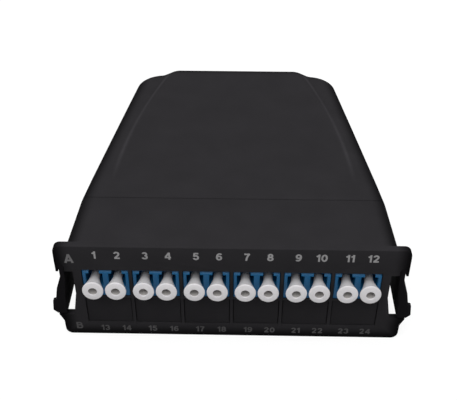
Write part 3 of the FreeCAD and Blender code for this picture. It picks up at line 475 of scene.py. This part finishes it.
def softened(node: str, width_mm: float, rim: Callable[[Vector], bool] | None = None,
             rim_mm: float = 0.0) -> bpy.types.Object:
    """Replace a CAD node by a copy of it with rounded edges.

    The copy's loose triangles are merged, flat fields become single faces, and every edge
    that turns by more than 30 degrees gets a narrow rounding, as a mould leaves it.

    Args:
        node: the node's name.
        width_mm: width of the rounding.
        rim: picks, by their middles, sharp edges that get a wider rounding first.
        rim_mm: radius of that rounding.

    Returns:
        The new piece; the node itself is hidden.
    """
    same_point_m, flat, sharp = 2e-6, math.radians(0.6), math.radians(50)
    form = bmesh.new()
    form.from_mesh(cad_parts[node].data)
    bmesh.ops.remove_doubles(form, verts=form.verts, dist=same_point_m)
    bmesh.ops.dissolve_limit(form, angle_limit=flat, verts=form.verts, edges=form.edges)
    if rim:
        picked = [edge for edge in form.edges if edge.calc_face_angle(0) > sharp
                  and rim((edge.verts[0].co + edge.verts[1].co) / 2)]
        bmesh.ops.bevel(form, geom=picked, offset=rim_mm * MM, segments=4, profile=0.5, affect="EDGES",
                        clamp_overlap=True)
    mesh = bpy.data.meshes.new(f"{node}_soft")
    form.to_mesh(mesh)
    form.free()
    mesh.polygons.foreach_set("use_smooth", np.ones(len(mesh.polygons), bool))
    piece = link(f"{node}_soft", mesh)
    bevel = piece.modifiers.new("edge_rounding", "BEVEL")
    bevel.width = width_mm * MM
    bevel.segments = 2
    bevel.limit_method = "ANGLE"
    bevel.angle_limit = math.radians(30)
    bevel.harden_normals = True
    bevel.use_clamp_overlap = True
    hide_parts(node)
    return piece


# ---------------------------------------------------------------- sub-assemblies

@dataclass
class RearShells:
    """The tapered body behind the seam: a flat-bottomed tray under a cover with sloping shoulders.

    Attributes:
        edge_radius: radius of the cover's upper edge.
        crease_half: half the flat top's width at the seam.
        crease_bend: how fast the crease turns in: its shift is this times the distance squared.
        crease_soft: width of the step at the seam.
        crease_spread: how much wider the step is at the rear.
        crease_power: how late that widening comes.
        crease_inset: how far inside the crease the step's middle lies.
        step_fall: how far the step drops at the rear.
        slope_fall: outward slope of the shoulder at the rear.
        rise: how far the shoulders would stand over the top at the seam.
        wall: wall thickness.
        corner: radius of the rear corners in plan.
        seam_gap: gap to the collar.
        seam_edge: radius of the cover's front edge.
        rear_half: half the width that the tapered sides would reach at the rear.
        spine_end: how far before the rear the line ends on which both sides' grids meet.
        side_steps, corner_steps, back_steps: grid points along each stretch of half the outline.
        wall_steps, turn_steps, top_steps: grid rows up the wall, round the edge and over the top.
        tray_rounding: width of the tray's rounded edges.
        highlight_share, highlight_half: how much lighter the painted highlight along the crease is, and half
            its width.
        highlight_start, highlight_ramp: where behind the seam the painted highlight comes in, and over what
            length.
        highlight_end: the length over which it goes out before the rear.
    """

    edge_radius: float = 2.6
    crease_half: float = 36.4
    crease_bend: float = 0.00225
    crease_soft: float = 2.0
    crease_spread: float = 6.0
    crease_power: int = 6
    crease_inset: float = 0.65
    step_fall: float = 2.4
    slope_fall: float = 0.06
    rise: float = 0.3
    wall: float = 1.8
    corner: float = 8.5
    seam_gap: float = 0.25
    seam_edge: float = 0.18
    rear_half: float = 34.0
    spine_end: float = 14.0
    side_steps: int = 100
    corner_steps: int = 30
    back_steps: int = 36
    wall_steps: int = 6
    turn_steps: int = 10
    top_steps: int = 120
    tray_rounding: float = 0.25
    highlight_share: float = 0.6
    highlight_half: float = 0.6
    highlight_start: float = 8.0
    highlight_ramp: float = 16.0
    highlight_end: float = 3.0

    def past_crease(self, x: np.ndarray, along: np.ndarray) -> np.ndarray:
        """Return how far points lie outside the crease, in millimetres, from their place.

        The crease turns in along a parabola: half width less bend times distance squared.
        """
        return np.abs(x) - (self.crease_half - self.crease_bend * along ** 2)

    def fall(self, x: np.ndarray, along: np.ndarray, length: float) -> np.ndarray:
        """Return how far the top lies under its flat centre, in millimetres.

        Across the crease the surface drops by a step on a smooth cubic, whose width opens
        out with a power of the share of the length, and outside it the shoulder slopes
        outward. Step and slope grow in proportion to the distance from the seam.

        Args:
            x: distance from the middle.
            along: distance behind the seam.
            length: the shells' length.

        Returns:
            The fall at each point.
        """
        share = np.clip(along / (length + self.edge_radius), 0, 1)
        outside = self.past_crease(x, along)
        wide = self.crease_soft + self.crease_spread * share ** self.crease_power
        soft = np.clip((outside + self.crease_inset) / wide + 0.5, 0, 1)
        step = np.maximum(self.step_fall * share - self.rise, 0)
        return step * soft * soft * (3 - 2 * soft) + self.slope_fall * share * np.maximum(outside, 0)

    def outline(self, near: float, front: float, rear: float) -> tuple[np.ndarray, np.ndarray]:
        """Return the plan outline and its inward normals, from the left end of the seam round the rear.

        Each side is a straight line, the rear corner a circular arc tangent to both its
        neighbours, and the left half mirrors the right.

        Args:
            near: half the width at the seam, in millimetres.
            front: the cover's front edge.
            rear: its rear face.

        Returns:
            Points of shape (n, 2), and unit normals of the same shape.
        """
        lean = math.atan2(near - self.rear_half, rear - front)
        radius = self.corner
        centre_y = rear - radius
        edge_x = near - (centre_y - front) * math.tan(lean)
        centre_x = edge_x - radius / math.cos(lean)
        turn = np.linspace(0, math.pi / 2 - lean, self.corner_steps) + lean
        corner = np.column_stack([centre_x + radius * np.cos(turn), centre_y + radius * np.sin(turn)])
        inward = -np.column_stack([np.cos(turn), np.sin(turn)])
        side = np.linspace((near, front), corner[0], self.side_steps)[:-1]
        side_in = np.repeat([[-math.cos(lean), -math.sin(lean)]], len(side), axis=0)
        back = np.linspace((corner[-1, 0], rear), (0.0, rear), self.back_steps)[1:]
        back_in = np.repeat([[0.0, -1.0]], len(back), axis=0)
        half = np.vstack([side, corner, back])
        normal = np.vstack([side_in, inward, back_in])
        mirror = np.array([-1.0, 1.0])
        return np.vstack([half * mirror, half[-2::-1]]), np.vstack([normal * mirror, normal[-2::-1]])

    def cover(self) -> bpy.types.Object:
        """Make the cover's skin and replace the CAD node.

        Each point of the outline carries a line that climbs the wall, turns over the edge
        on a quarter circle and runs level to the middle, where the two sides meet.

        Returns:
            The cover.
        """
        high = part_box("top_cover")[1] / MM
        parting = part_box("base_tray")[1].z / MM
        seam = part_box("front_bezel")[1].y / MM
        front = seam + self.seam_gap
        path, inward = self.outline(high.x, front, high.y)
        length = high.y - seam

        def top(place: np.ndarray) -> np.ndarray:
            """Return the top's height over points in plan, its front edge just broken."""
            near = np.clip(1 - (place[:, 1] - front) / self.seam_edge, 0, 1)
            turned = self.seam_edge * (1 - np.sqrt(1 - near ** 2))
            return high.z - self.fall(place[:, 0], place[:, 1] - seam, length) - turned

        rows = []
        for climb in np.linspace(0, 1, self.wall_steps)[:-1]:
            rise = top(path) - self.edge_radius
            rows.append(np.column_stack([path, parting + (rise - parting) * climb]))
        for turn in np.linspace(0, math.pi / 2, self.turn_steps):
            inset = path + inward * self.edge_radius * (1 - math.cos(turn))
            inset[:, 1] = np.maximum(inset[:, 1], front)
            rows.append(np.column_stack([inset, top(inset) - self.edge_radius * (1 - math.sin(turn))]))
        rim = rows[-1][:, :2]
        spine = np.column_stack([np.zeros(len(rim)), np.clip(rim[:, 1], front, high.y - self.spine_end)])
        for share in np.linspace(0, 1, self.top_steps)[1:]:
            flat = rim + (spine - rim) * share
            rows.append(np.column_stack([flat, top(flat)]))
        piece = link("top_cover_skin", grid_mesh("top_cover_skin", np.stack(rows, axis=1) * MM))
        shell = piece.modifiers.new("wall", "SOLIDIFY")
        shell.thickness = self.wall * MM
        shell.offset = -1.0
        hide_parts("top_cover")
        return piece

    def painted_crease_highlight(self, cover: bpy.types.Object) -> None:
        """Write a painted highlight along the crease: how much lighter each point is, as the attribute
        "painted_crease_highlight".

        The line is a bell curve across the crease, which comes in and goes out along it on
        two straight ramps.

        Args:
            cover: the cover's piece.
        """
        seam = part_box("front_bezel")[1].y / MM
        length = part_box("top_cover")[1].y / MM - seam
        place = np.empty(len(cover.data.vertices) * 3)
        cover.data.vertices.foreach_get("co", place)
        place = place.reshape(-1, 3) / MM
        along = place[:, 1] - seam
        outside = self.past_crease(place[:, 0], along) + self.crease_inset
        come = np.clip((along - self.highlight_start) / self.highlight_ramp, 0, 1)
        go = np.clip((length - along) / self.highlight_end, 0, 1)
        # Painted highlight: a bell curve across the crease.
        highlight_level = self.highlight_share * np.exp(-(outside / self.highlight_half) ** 2) * come * go
        attribute = cover.data.attributes.new("painted_crease_highlight", "FLOAT", "POINT")
        attribute.data.foreach_set("value", highlight_level.astype(np.float32))

    def build(self) -> None:
        """Make the shells and dress them."""
        cover = self.cover()
        self.painted_crease_highlight(cover)
        dress(cover, BLACK_COVER)
        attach(cover, "cassette")
        tray = softened("base_tray", self.tray_rounding)
        dress(tray, BLACK_ABS)
        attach(tray, "cassette")
        log.info("rear shells done")


@dataclass
class Faceplate:
    """The faceplate with its collar, its blanks and the frame behind them.

    Attributes:
        rounding: width of the rounded edges.
        outline_rounding: radius along the outline of the faceplate's front.
        outline_band, ear_band, front_band: how near the upper and lower edge, the ears' sides
            and the front face the outline's edges lie.
    """

    rounding: float = 0.2
    outline_rounding: float = 0.8
    outline_band: float = 2.2
    ear_band: float = 1.1
    front_band: float = 0.05

    def on_outline(self, middle: Vector) -> bool:
        """Say whether an edge's middle lies on the outline of the faceplate's front.

        Args:
            middle: the middle of the edge, in metres.

        Returns:
            Whether it does.
        """
        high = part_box("front_bezel")[1]
        band = self.outline_band * MM
        across = middle.z < band or middle.z > high.z - band
        beside = abs(middle.x) > high.x - self.ear_band * MM
        return middle.y < self.front_band * MM and (across or beside)

    def build(self) -> None:
        """Soften the bezel and the blanks and dress the hidden frame."""
        bezel = softened("front_bezel", self.rounding, rim=self.on_outline, rim_mm=self.outline_rounding)
        dress(bezel, BLACK_BEZEL)
        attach(bezel, "cassette")
        for number in range(1, DUPLEXES + 1):
            piece = softened(f"blank_plug_{number}", self.rounding)
            dress(piece, BLACK_ABS)
            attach(piece, "cassette")
        dress(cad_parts["retainer_frame"], BLACK_SATIN)
        log.info("faceplate done")


@dataclass
class PortRow:
    """The six blue duplex adapters, their edges' rounding, and what is behind them."""

    rounding: float = 0.12

    def build(self) -> None:
        """Soften the adapters and dress sleeves, plugs and fibres."""
        for number in range(1, DUPLEXES + 1):
            piece = softened(f"lc_adapter_{number}", self.rounding)
            dress(piece, BLUE_PBT)
            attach(piece, "cassette")
        dress(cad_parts["alignment_sleeves"], ZIRCONIA)
        dress(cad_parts["fan_out_fibres"], FIBRE_YELLOW)
        for number in range(1, PORTS + 1):
            dress(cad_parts[f"lc_plug_{number:02d}"], PLUG_WHITE)
        log.info("port row done")


@dataclass
class DustCap:
    """One push-in cap: a pin, a stem and a trumpet head with a blind hole, turned about its axis.

    Attributes:
        number: the port that it closes.
        head_radius, stem_radius, pin_radius: radii of its three parts.
        pin_length: length of the pin.
        rim: height of the head's straight rim.
        flare, flare_power: length of the trumpet between rim and stem, and how hollow it is.
        droop: how far the soft cap's head hangs under the port's axis.
        nod: how far the head's face is turned up, in degrees.
        held: where along the cap the port's wall starts to hold it straight.
        hole_radius, hole_deep: size of the hole.
        hole_end: the share of that radius where the hole's end goes flat.
        bore_wall_start: how far in the hole's straight wall starts, and with it the painted shade.
        edge: radius of the head's edge.
        hole_round, mouth_round, foot_round, tip_round: radii at the hole's end, at its mouth,
            at the stem's end and at the pin's tip.
        flare_steps, turns: points along the trumpet and round the axis.
    """

    number: int
    head_radius: float = 2.9
    stem_radius: float = 1.27
    pin_radius: float = 0.55
    pin_length: float = 3.4
    rim: float = 0.3
    flare: float = 4.9
    flare_power: float = 1.25
    droop: float = 0.6
    nod: float = 7.0
    held: float = 9.0
    hole_radius: float = 1.2
    hole_end: float = 0.8
    hole_deep: float = 6.5
    bore_wall_start: float = 0.3
    edge: float = 0.26
    hole_round: float = 0.2
    mouth_round: float = 0.1
    foot_round: float = 0.15
    tip_round: float = 0.2
    flare_steps: int = 22
    turns: int = 56

    def profile(self, length: float) -> np.ndarray:
        """Return the profile as axial distance from the head's face and radius.

        The trumpet's radius is the stem's plus the rest of the head's times a power, a
        little over one, of the share of the flare still ahead.

        Args:
            length: the cap's whole length in millimetres.

        Returns:
            Points from the bottom of the hole, over the head, down the trumpet to the pin's tip.
        """
        head, hole, edge = self.head_radius, self.hole_radius, self.edge
        stem_end = length - self.pin_length
        room, ring = 0.2, 0.2
        sweep = np.linspace(0, min(1.0, (stem_end - room - self.rim) / self.flare), self.flare_steps)
        widths = self.stem_radius + (head - self.stem_radius) * (1 - sweep) ** self.flare_power
        flare = np.column_stack([self.rim + self.flare * sweep, widths])
        foot = flare[-1, 1] - self.foot_round

        def corner(x: float, y: float, radius: float, *turn: float) -> list[tuple[float, float]]:
            """Return a rounded corner's points about its centre."""
            return bow((x, y), (radius, radius), *turn)

        return np.vstack([
            [[self.hole_deep, 0.0], [self.hole_deep, hole * self.hole_end]],
            corner(self.hole_deep - self.hole_round, hole - self.hole_round, self.hole_round, 0, 90, 4),
            [[self.bore_wall_start + ring, hole], [self.bore_wall_start, hole]],
            corner(self.mouth_round, hole + self.mouth_round, self.mouth_round, 270, 180, 5),
            corner(edge, head - edge, edge, 180, 90, 7),
            flare,
            corner(stem_end - self.foot_round, foot, self.foot_round, 90, 0, 4),
            [[stem_end, self.pin_radius]],
            corner(length - self.tip_round, self.pin_radius - self.tip_round, self.tip_round, 90, 0, 4),
            [[length, 0.0]],
        ])

    def build(self) -> None:
        """Turn the profile about the port's axis and dress it.

        What stands out of the port hangs down with the square of its distance from there,
        and the head's face is turned up by moving its upper points rearward.
        """
        node = f"dust_cap_{self.number:02d}"
        low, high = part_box(node)
        axis = (low + high) / 2
        profile = self.profile((high.y - low.y) / MM) * MM
        turn = np.linspace(0, 2 * math.pi, self.turns, endpoint=False)
        along, radius = profile[:, 0][:, None], profile[:, 1][:, None]
        free = np.clip(1 - along / (self.held * MM), 0, 1)
        lift = math.tan(math.radians(self.nod)) * np.clip(1 - along / (self.flare * MM), 0, 1)
        points = np.stack([axis.x + radius * np.cos(turn),
                           low.y + along + radius * (1 + np.sin(turn)) * lift,
                           axis.z + radius * np.sin(turn) - self.droop * MM * free ** 2], axis=-1)
        piece = link(f"{node}_turned", grid_mesh(f"{node}_turned", points, closed=True))
        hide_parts(node)
        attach(piece, node)
        dress(piece, WHITE_PE)
        self.dress_bore(piece, axis)

    def dress_bore(self, piece: bpy.types.Object, axis: Vector) -> None:
        """Give the wall and end of the blind hole their painted shade, a darker and rougher material.

        Args:
            piece: the cap.
            axis: a point on the port's axis.
        """
        beside, beyond = 0.02 * MM, 0.5 * MM
        piece.data.materials.append(BORE_SHADE_PE.material())
        centres = np.empty(len(piece.data.polygons) * 3)
        piece.data.polygons.foreach_get("center", centres)
        centres = centres.reshape(-1, 3)
        off = np.hypot(centres[:, 0] - axis.x, centres[:, 2] - axis.z + self.droop * MM)
        deep = centres[:, 1] - centres[:, 1].min()
        inside = (deep > self.bore_wall_start * MM) & (deep < self.hole_deep * MM + beyond)
        bore = inside & (off < self.hole_radius * MM + beside)
        piece.data.polygons.foreach_set("material_index", bore.astype(np.int32))
        piece.data.update()


@dataclass
class Latch:
    """One latch, left or right: its CAD form with soft edges, as wide as its rounding says."""

    side: str
    rounding: float = 0.2

    def build(self) -> None:
        """Soften the arm and dress it."""
        node = f"latch_{self.side}"
        piece = softened(node, self.rounding)
        dress(piece, BLACK_SPRING)
        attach(piece, node)


@dataclass
class RearPort:
    """The multi-fibre adapter on the rear wall, its cap, both with rounded edges, and its screws."""

    rounding: float = 0.2
    cap_rounding: float = 0.25

    def build(self) -> None:
        """Soften the adapter and the cap and dress all of it."""
        adapter = softened("mpo_adapter", self.rounding)
        dress(adapter, BLACK_SATIN)
        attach(adapter, "cassette")
        cap = softened("mpo_dust_cap", self.cap_rounding)
        dress(cap, BLACK_SATIN)
        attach(cap, "mpo_dust_cap")
        dress(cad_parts["mpo_plug"], BLACK_SATIN)
        for node in ("mpo_screws", "cover_screws"):
            dress(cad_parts[node], STEEL)
        log.info("rear port done")


# ---------------------------------------------------------------- printed figures

# Each figure as the middle lines of its strokes, in a box one unit high; x runs from 0 to its width.
FIGURES: dict[str, list[list[tuple[float, float]]]] = {
    "0": [bow((0.34, 0.5), (0.23, 0.4), 0, 360, 30)],
    "1": [[(0.3, 0.0), (0.3, 1.0)], [(0.28, 0.88), (0.17, 0.77), (0.03, 0.7)]],
    "2": [bow((0.33, 0.69), (0.22, 0.21), 172, -25, 14) + [(0.4, 0.4), (0.12, 0.1)],
          [(0.08, 0.1), (0.64, 0.1)]],
    "3": [bow((0.32, 0.71), (0.2, 0.19), 165, -90, 14), bow((0.32, 0.31), (0.23, 0.21), 90, -165, 16)],
    "4": [[(0.5, 0.0), (0.5, 0.97)], [(0.46, 0.93), (0.1, 0.32)], [(0.04, 0.29), (0.68, 0.29)]],
    "5": [[(0.6, 0.9), (0.2, 0.9)], [(0.2, 0.98), (0.13, 0.48)],
          bow((0.33, 0.34), (0.23, 0.25), 140, -165, 20)],
    "6": [bow((0.34, 0.33), (0.22, 0.23), 0, 360, 26),
          bow((0.42, 0.42), (0.31, 0.48), 190, 100, 12) + [(0.5, 0.87), (0.57, 0.78)]],
    "7": [[(0.06, 0.9), (0.62, 0.9)], [(0.6, 0.92), (0.42, 0.64), (0.31, 0.34), (0.28, 0.0)]],
    "8": [bow((0.34, 0.71), (0.19, 0.19), 0, 360, 24), bow((0.34, 0.3), (0.23, 0.21), 0, 360, 26)],
    "A": [[(0.08, 0.0), (0.4, 1.0)], [(0.72, 0.0), (0.4, 1.0)], [(0.18, 0.3), (0.62, 0.3)]],
    "B": [[(0.12, 0.0), (0.12, 1.0)],
          [(0.1, 0.91), (0.38, 0.91)] + bow((0.4, 0.73), (0.18, 0.18), 90, -90, 10) + [(0.1, 0.55)],
          [(0.1, 0.55), (0.4, 0.55)] + bow((0.42, 0.32), (0.22, 0.23), 90, -90, 12) + [(0.1, 0.09)]],
}
FIGURE_WIDTH = 0.68
FIGURE_WIDTHS = {"1": 0.4, "A": 0.8, "B": 0.72}
FIGURES["9"] = [[(FIGURE_WIDTH - x, 1.0 - y) for x, y in stroke] for stroke in FIGURES["6"]]


@dataclass(frozen=True)
class Row:
    """One printed row: a number at each port, from the first one, and a letter on the ear.

    Attributes:
        height, z: the numbers' height, and where their middle is.
        shift: how far each number stands to the right of its port.
        letter_at: where the letter's middle is.
    """

    first: int
    height: float
    shift: float
    z: float
    ink: Moulded
    letter: str
    letter_at: tuple[float, float]
    letter_height: float
    letter_ink: Moulded


ROWS = (Row(1, 2.6, 0.42, 31.05, INK_BRIGHT, "A", (-43.97, 29.62), 3.1, INK_DIM),
        Row(13, 2.15, 1.0, 2.64, INK_FAINT, "B", (-43.89, 3.44), 2.6, INK_FAINT))


@dataclass
class PortNumbers:
    """The pad-printed numbers and letters of both rows, drawn stroke by stroke.

    Attributes:
        stroke: width of a stroke, as a share of the figure's height.
        space: room between two figures, as the same share.
        ink: thickness of the ink.
        layer: how much further out each next stroke lies, so that no two share a plane.
        pull_in: how much closer than the ports the numbers stand, as printed.
    """

    stroke: float = 0.2
    space: float = 0.1
    ink: float = 0.03
    layer: float = 0.004
    pull_in: float = 0.992

    def strokes(self, text: str) -> Iterable[np.ndarray]:
        """Yield the middle line of each stroke of a text, one unit high, from x = 0."""
        start = 0.0
        for sign in text:
            for stroke in FIGURES[sign]:
                yield np.array(stroke) + [start, 0.0]
            start += FIGURE_WIDTHS.get(sign, FIGURE_WIDTH) + self.space

    def ribbon(self, line: np.ndarray) -> np.ndarray:
        """Return a stroke's two edges: its middle line moved half its width along its normal, each way."""
        along = np.gradient(line, axis=0)
        if np.allclose(line[0], line[-1]):
            along[0] = along[-1] = line[1] - line[-2]
        along /= np.linalg.norm(along, axis=1, keepdims=True)
        normal = np.column_stack([-along[:, 1], along[:, 0]]) * self.stroke / 2
        return np.stack([line - normal, line + normal], axis=1)

    def mark(self, text: str, x: float, z: float, height: float, finish: Moulded) -> None:
        """Print one mark on the faceplate, as ink of a real thickness.

        Args:
            text: what it says.
            x: its middle, in millimetres.
            z: its middle height.
            height: its height.
            finish: the ink.
        """
        ribbons = [self.ribbon(line) for line in self.strokes(text)]
        every = np.vstack([ribbon.reshape(-1, 2) for ribbon in ribbons])
        middle = (every.min(axis=0) + every.max(axis=0)) / 2
        points, faces, first = [], [], 0
        for layer, ribbon in enumerate(ribbons):
            flat = (ribbon.reshape(-1, 2) - middle) * height + [x, z]
            front = np.full(len(flat), -(self.ink + self.layer * layer))
            points.append(np.column_stack([flat[:, 0], front, flat[:, 1]]) * MM)
            faces.append(first + 2 * np.arange(len(ribbon) - 1)[:, None] + [0, 2, 3, 1])
            first += len(flat)
        mesh = bpy.data.meshes.new(f"print_{text}")
        mesh.from_pydata(np.vstack(points).tolist(), [], np.vstack(faces).tolist())
        form = bmesh.new()
        form.from_mesh(mesh)
        form.normal_update()
        bmesh.ops.reverse_faces(form, faces=[face for face in form.faces if face.normal.y > 0])
        form.to_mesh(mesh)
        form.free()
        piece = link(f"print_{text}", mesh)
        film = piece.modifiers.new("film", "SOLIDIFY")
        film.thickness = self.ink * MM
        film.offset = -1.0
        dress(piece, finish)
        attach(piece, "cassette")

    def build(self) -> None:
        """Print both rows and their letters."""
        for port in range(PORTS):
            low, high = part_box(f"dust_cap_{port + 1:02d}")
            middle = (low.x + high.x) / 2 / MM * self.pull_in
            for row in ROWS:
                self.mark(str(row.first + port), middle + row.shift, row.z, row.height, row.ink)
        for row in ROWS:
            self.mark(row.letter, *row.letter_at, row.letter_height, row.letter_ink)
        log.info("port numbers done")


# ---------------------------------------------------------------- studio

def seen_rays(tree: Tree) -> Socket:
    """Return 1 for camera, glossy and transmission rays, which see the white background, else 0."""
    path = add_node(tree, "ShaderNodeLightPath").outputs
    either = reckoned(tree, "MAXIMUM", path["Is Camera Ray"], path["Is Glossy Ray"])
    return reckoned(tree, "MAXIMUM", either, path["Is Transmission Ray"])


@dataclass(frozen=True)
class Lamp:
    """One soft square lamp that faces the middle of the cassette.

    Its place and its side are in metres, its power in watts.
    """

    name: str
    place: tuple[float, float, float]
    size: float
    power: float

    def hang(self) -> None:
        """Hang the lamp."""
        aim = Vector((0, 0.045, 0.015))
        data = bpy.data.lights.new(self.name, "AREA")
        data.shape = "SQUARE"
        data.size = self.size
        data.energy = self.power
        item = bpy.data.objects.new(self.name, data)
        item.location = self.place
        item.rotation_mode = "QUATERNION"
        item.rotation_quaternion = (aim - Vector(self.place)).to_track_quat("-Z", "Y")
        bpy.context.scene.collection.objects.link(item)


LAMPS = (Lamp("key", (-0.1, -0.33, 0.85), 0.7, 7.0),
         Lamp("fill", (0.3, -0.8, 0.35), 0.6, 1.5),
         Lamp("rear", (0.0, 0.6, 0.7), 0.7, 2.6))
WHITE = (1.0, 1.0, 1.0, 1.0)


@dataclass
class Studio:
    """A pale floor, soft lamps and the camera.

    Attributes:
        camera_at: where the camera stands, in millimetres.
        elevation, yaw, roll: how far it looks down and to the right and is tilted, in degrees.
        lens: focal length on a frame 36 mm wide.
        shift: how far the frame is moved sideways and up, as a share of its width.
        floor_half: half the floor's side, in metres.
        floor_drop: how far the floor lies under the cassette.
        floor_lit: the floor's grey where it throws light back at the cassette.
        floor_faint: its grey where it is seen, which takes the shadow.
        glow_span: distances from the middle between which the floor's glow gets stronger.
        glow: its strength at each of them.
        even_light: strength of the surroundings' light.
    """

    camera_at: tuple[float, float, float] = (2.445, -158.541, 177.359)
    elevation: float = 38.645
    yaw: float = -1.196
    roll: float = -0.012
    lens: float = 63.357
    shift: tuple[float, float] = (0.0004, -0.0001)
    floor_half: float = 4.0
    floor_drop: float = 0.0002
    floor_lit: str = "898989"
    floor_faint: str = "6f6f6f"
    glow_span: tuple[float, float] = (0.2, 0.7)
    glow: tuple[float, float] = (0.86, 1.0)
    even_light: float = 0.35

    def camera(self) -> None:
        """Stand the camera in front of and above the cassette, looking down at it."""
        pitch, yaw, roll = (math.radians(angle) for angle in (self.elevation, self.yaw, self.roll))
        ahead = Vector((math.sin(yaw) * math.cos(pitch), math.cos(yaw) * math.cos(pitch), -math.sin(pitch)))
        right = Vector((math.cos(yaw), -math.sin(yaw), 0))
        above = right.cross(ahead)
        across = right * math.cos(roll) + above * math.sin(roll)
        upward = above * math.cos(roll) - right * math.sin(roll)
        data = bpy.data.cameras.new("camera")
        data.lens = self.lens
        data.sensor_width = 36
        data.shift_x, data.shift_y = self.shift
        data.clip_start, data.clip_end = 0.01, 20
        item = bpy.data.objects.new("camera", data)
        bpy.context.scene.collection.objects.link(item)
        turned = Matrix((across, upward, -ahead)).transposed().to_4x4()
        item.matrix_world = Matrix.Translation(Vector(self.camera_at) * MM) @ turned
        bpy.context.scene.camera = item

    def floor(self) -> None:
        """Lay a wide white floor that still takes the cassette's shadow.

        Where it is seen it glows, on top of a faint grey that shows the shadow. Elsewhere
        it is a plain grey, so that it adds no light of its own.
        """
        half = self.floor_half
        mesh = bpy.data.meshes.new("floor")
        corners = [(-half, -half, 0), (half, -half, 0), (half, half, 0), (-half, half, 0)]
        mesh.from_pydata(corners, [], [(0, 1, 2, 3)])
        item = link("floor", mesh)
        made = bpy.data.materials.new("white_floor")
        made.use_nodes = True
        tree = made.node_tree
        tree.nodes.clear()
        lit = add_node(tree, "ShaderNodeBsdfDiffuse", {"Color": linear(self.floor_lit)})
        faint = add_node(tree, "ShaderNodeBsdfDiffuse", {"Color": linear(self.floor_faint)})
        place = add_node(tree, "ShaderNodeTexCoord").outputs["Object"]
        away = add_node(tree, "ShaderNodeVectorMath", {0: place}, operation="LENGTH").outputs["Value"]
        level = remapped(tree, away, self.glow_span, self.glow)
        glow = add_node(tree, "ShaderNodeEmission", {"Color": WHITE, "Strength": level})
        both = add_node(tree, "ShaderNodeAddShader", {0: faint.outputs[0], 1: glow.outputs[0]})
        mixed = add_node(tree, "ShaderNodeMixShader", {
            0: seen_rays(tree), 1: lit.outputs[0], 2: both.outputs[0]})
        add_node(tree, "ShaderNodeOutputMaterial", {"Surface": mixed.outputs[0]})
        item.data.materials.append(made)
        item.location.z = -self.floor_drop

    def world(self) -> None:
        """Fill the surroundings with even light, white where the camera sees them."""
        world = bpy.data.worlds.new("studio")
        bpy.context.scene.world = world
        world.use_nodes = True
        tree = world.node_tree
        tree.nodes.clear()
        even = add_node(tree, "ShaderNodeBackground", {"Color": WHITE, "Strength": self.even_light})
        white = add_node(tree, "ShaderNodeBackground", {"Color": WHITE, "Strength": 1.0})
        mixed = add_node(tree, "ShaderNodeMixShader", {
            0: seen_rays(tree), 1: even.outputs[0], 2: white.outputs[0]})
        add_node(tree, "ShaderNodeOutputWorld", {"Surface": mixed.outputs[0]})

    def build(self) -> None:
        """Set up the whole studio."""
        self.camera()
        self.floor()
        self.world()
        for lamp in LAMPS:
            lamp.hang()
        bpy.context.scene.view_settings.view_transform = "Standard"
        log.info("studio done")


# ---------------------------------------------------------------- the whole

def write_sizes() -> None:
    """Bring every object's place up to date."""
    bpy.context.view_layer.update()


def main() -> None:
    """Build every sub-assembly in order."""
    logging.basicConfig(level=logging.INFO)
    Studio().build()
    RearShells().build()
    Faceplate().build()
    PortRow().build()
    for number in range(1, PORTS + 1):
        DustCap(number).build()
    log.info("dust caps done")
    for side in ("left", "right"):
        Latch(side).build()
    log.info("latches done")
    RearPort().build()
    PortNumbers().build()
    write_sizes()


if __name__ == "__main__":
    main()
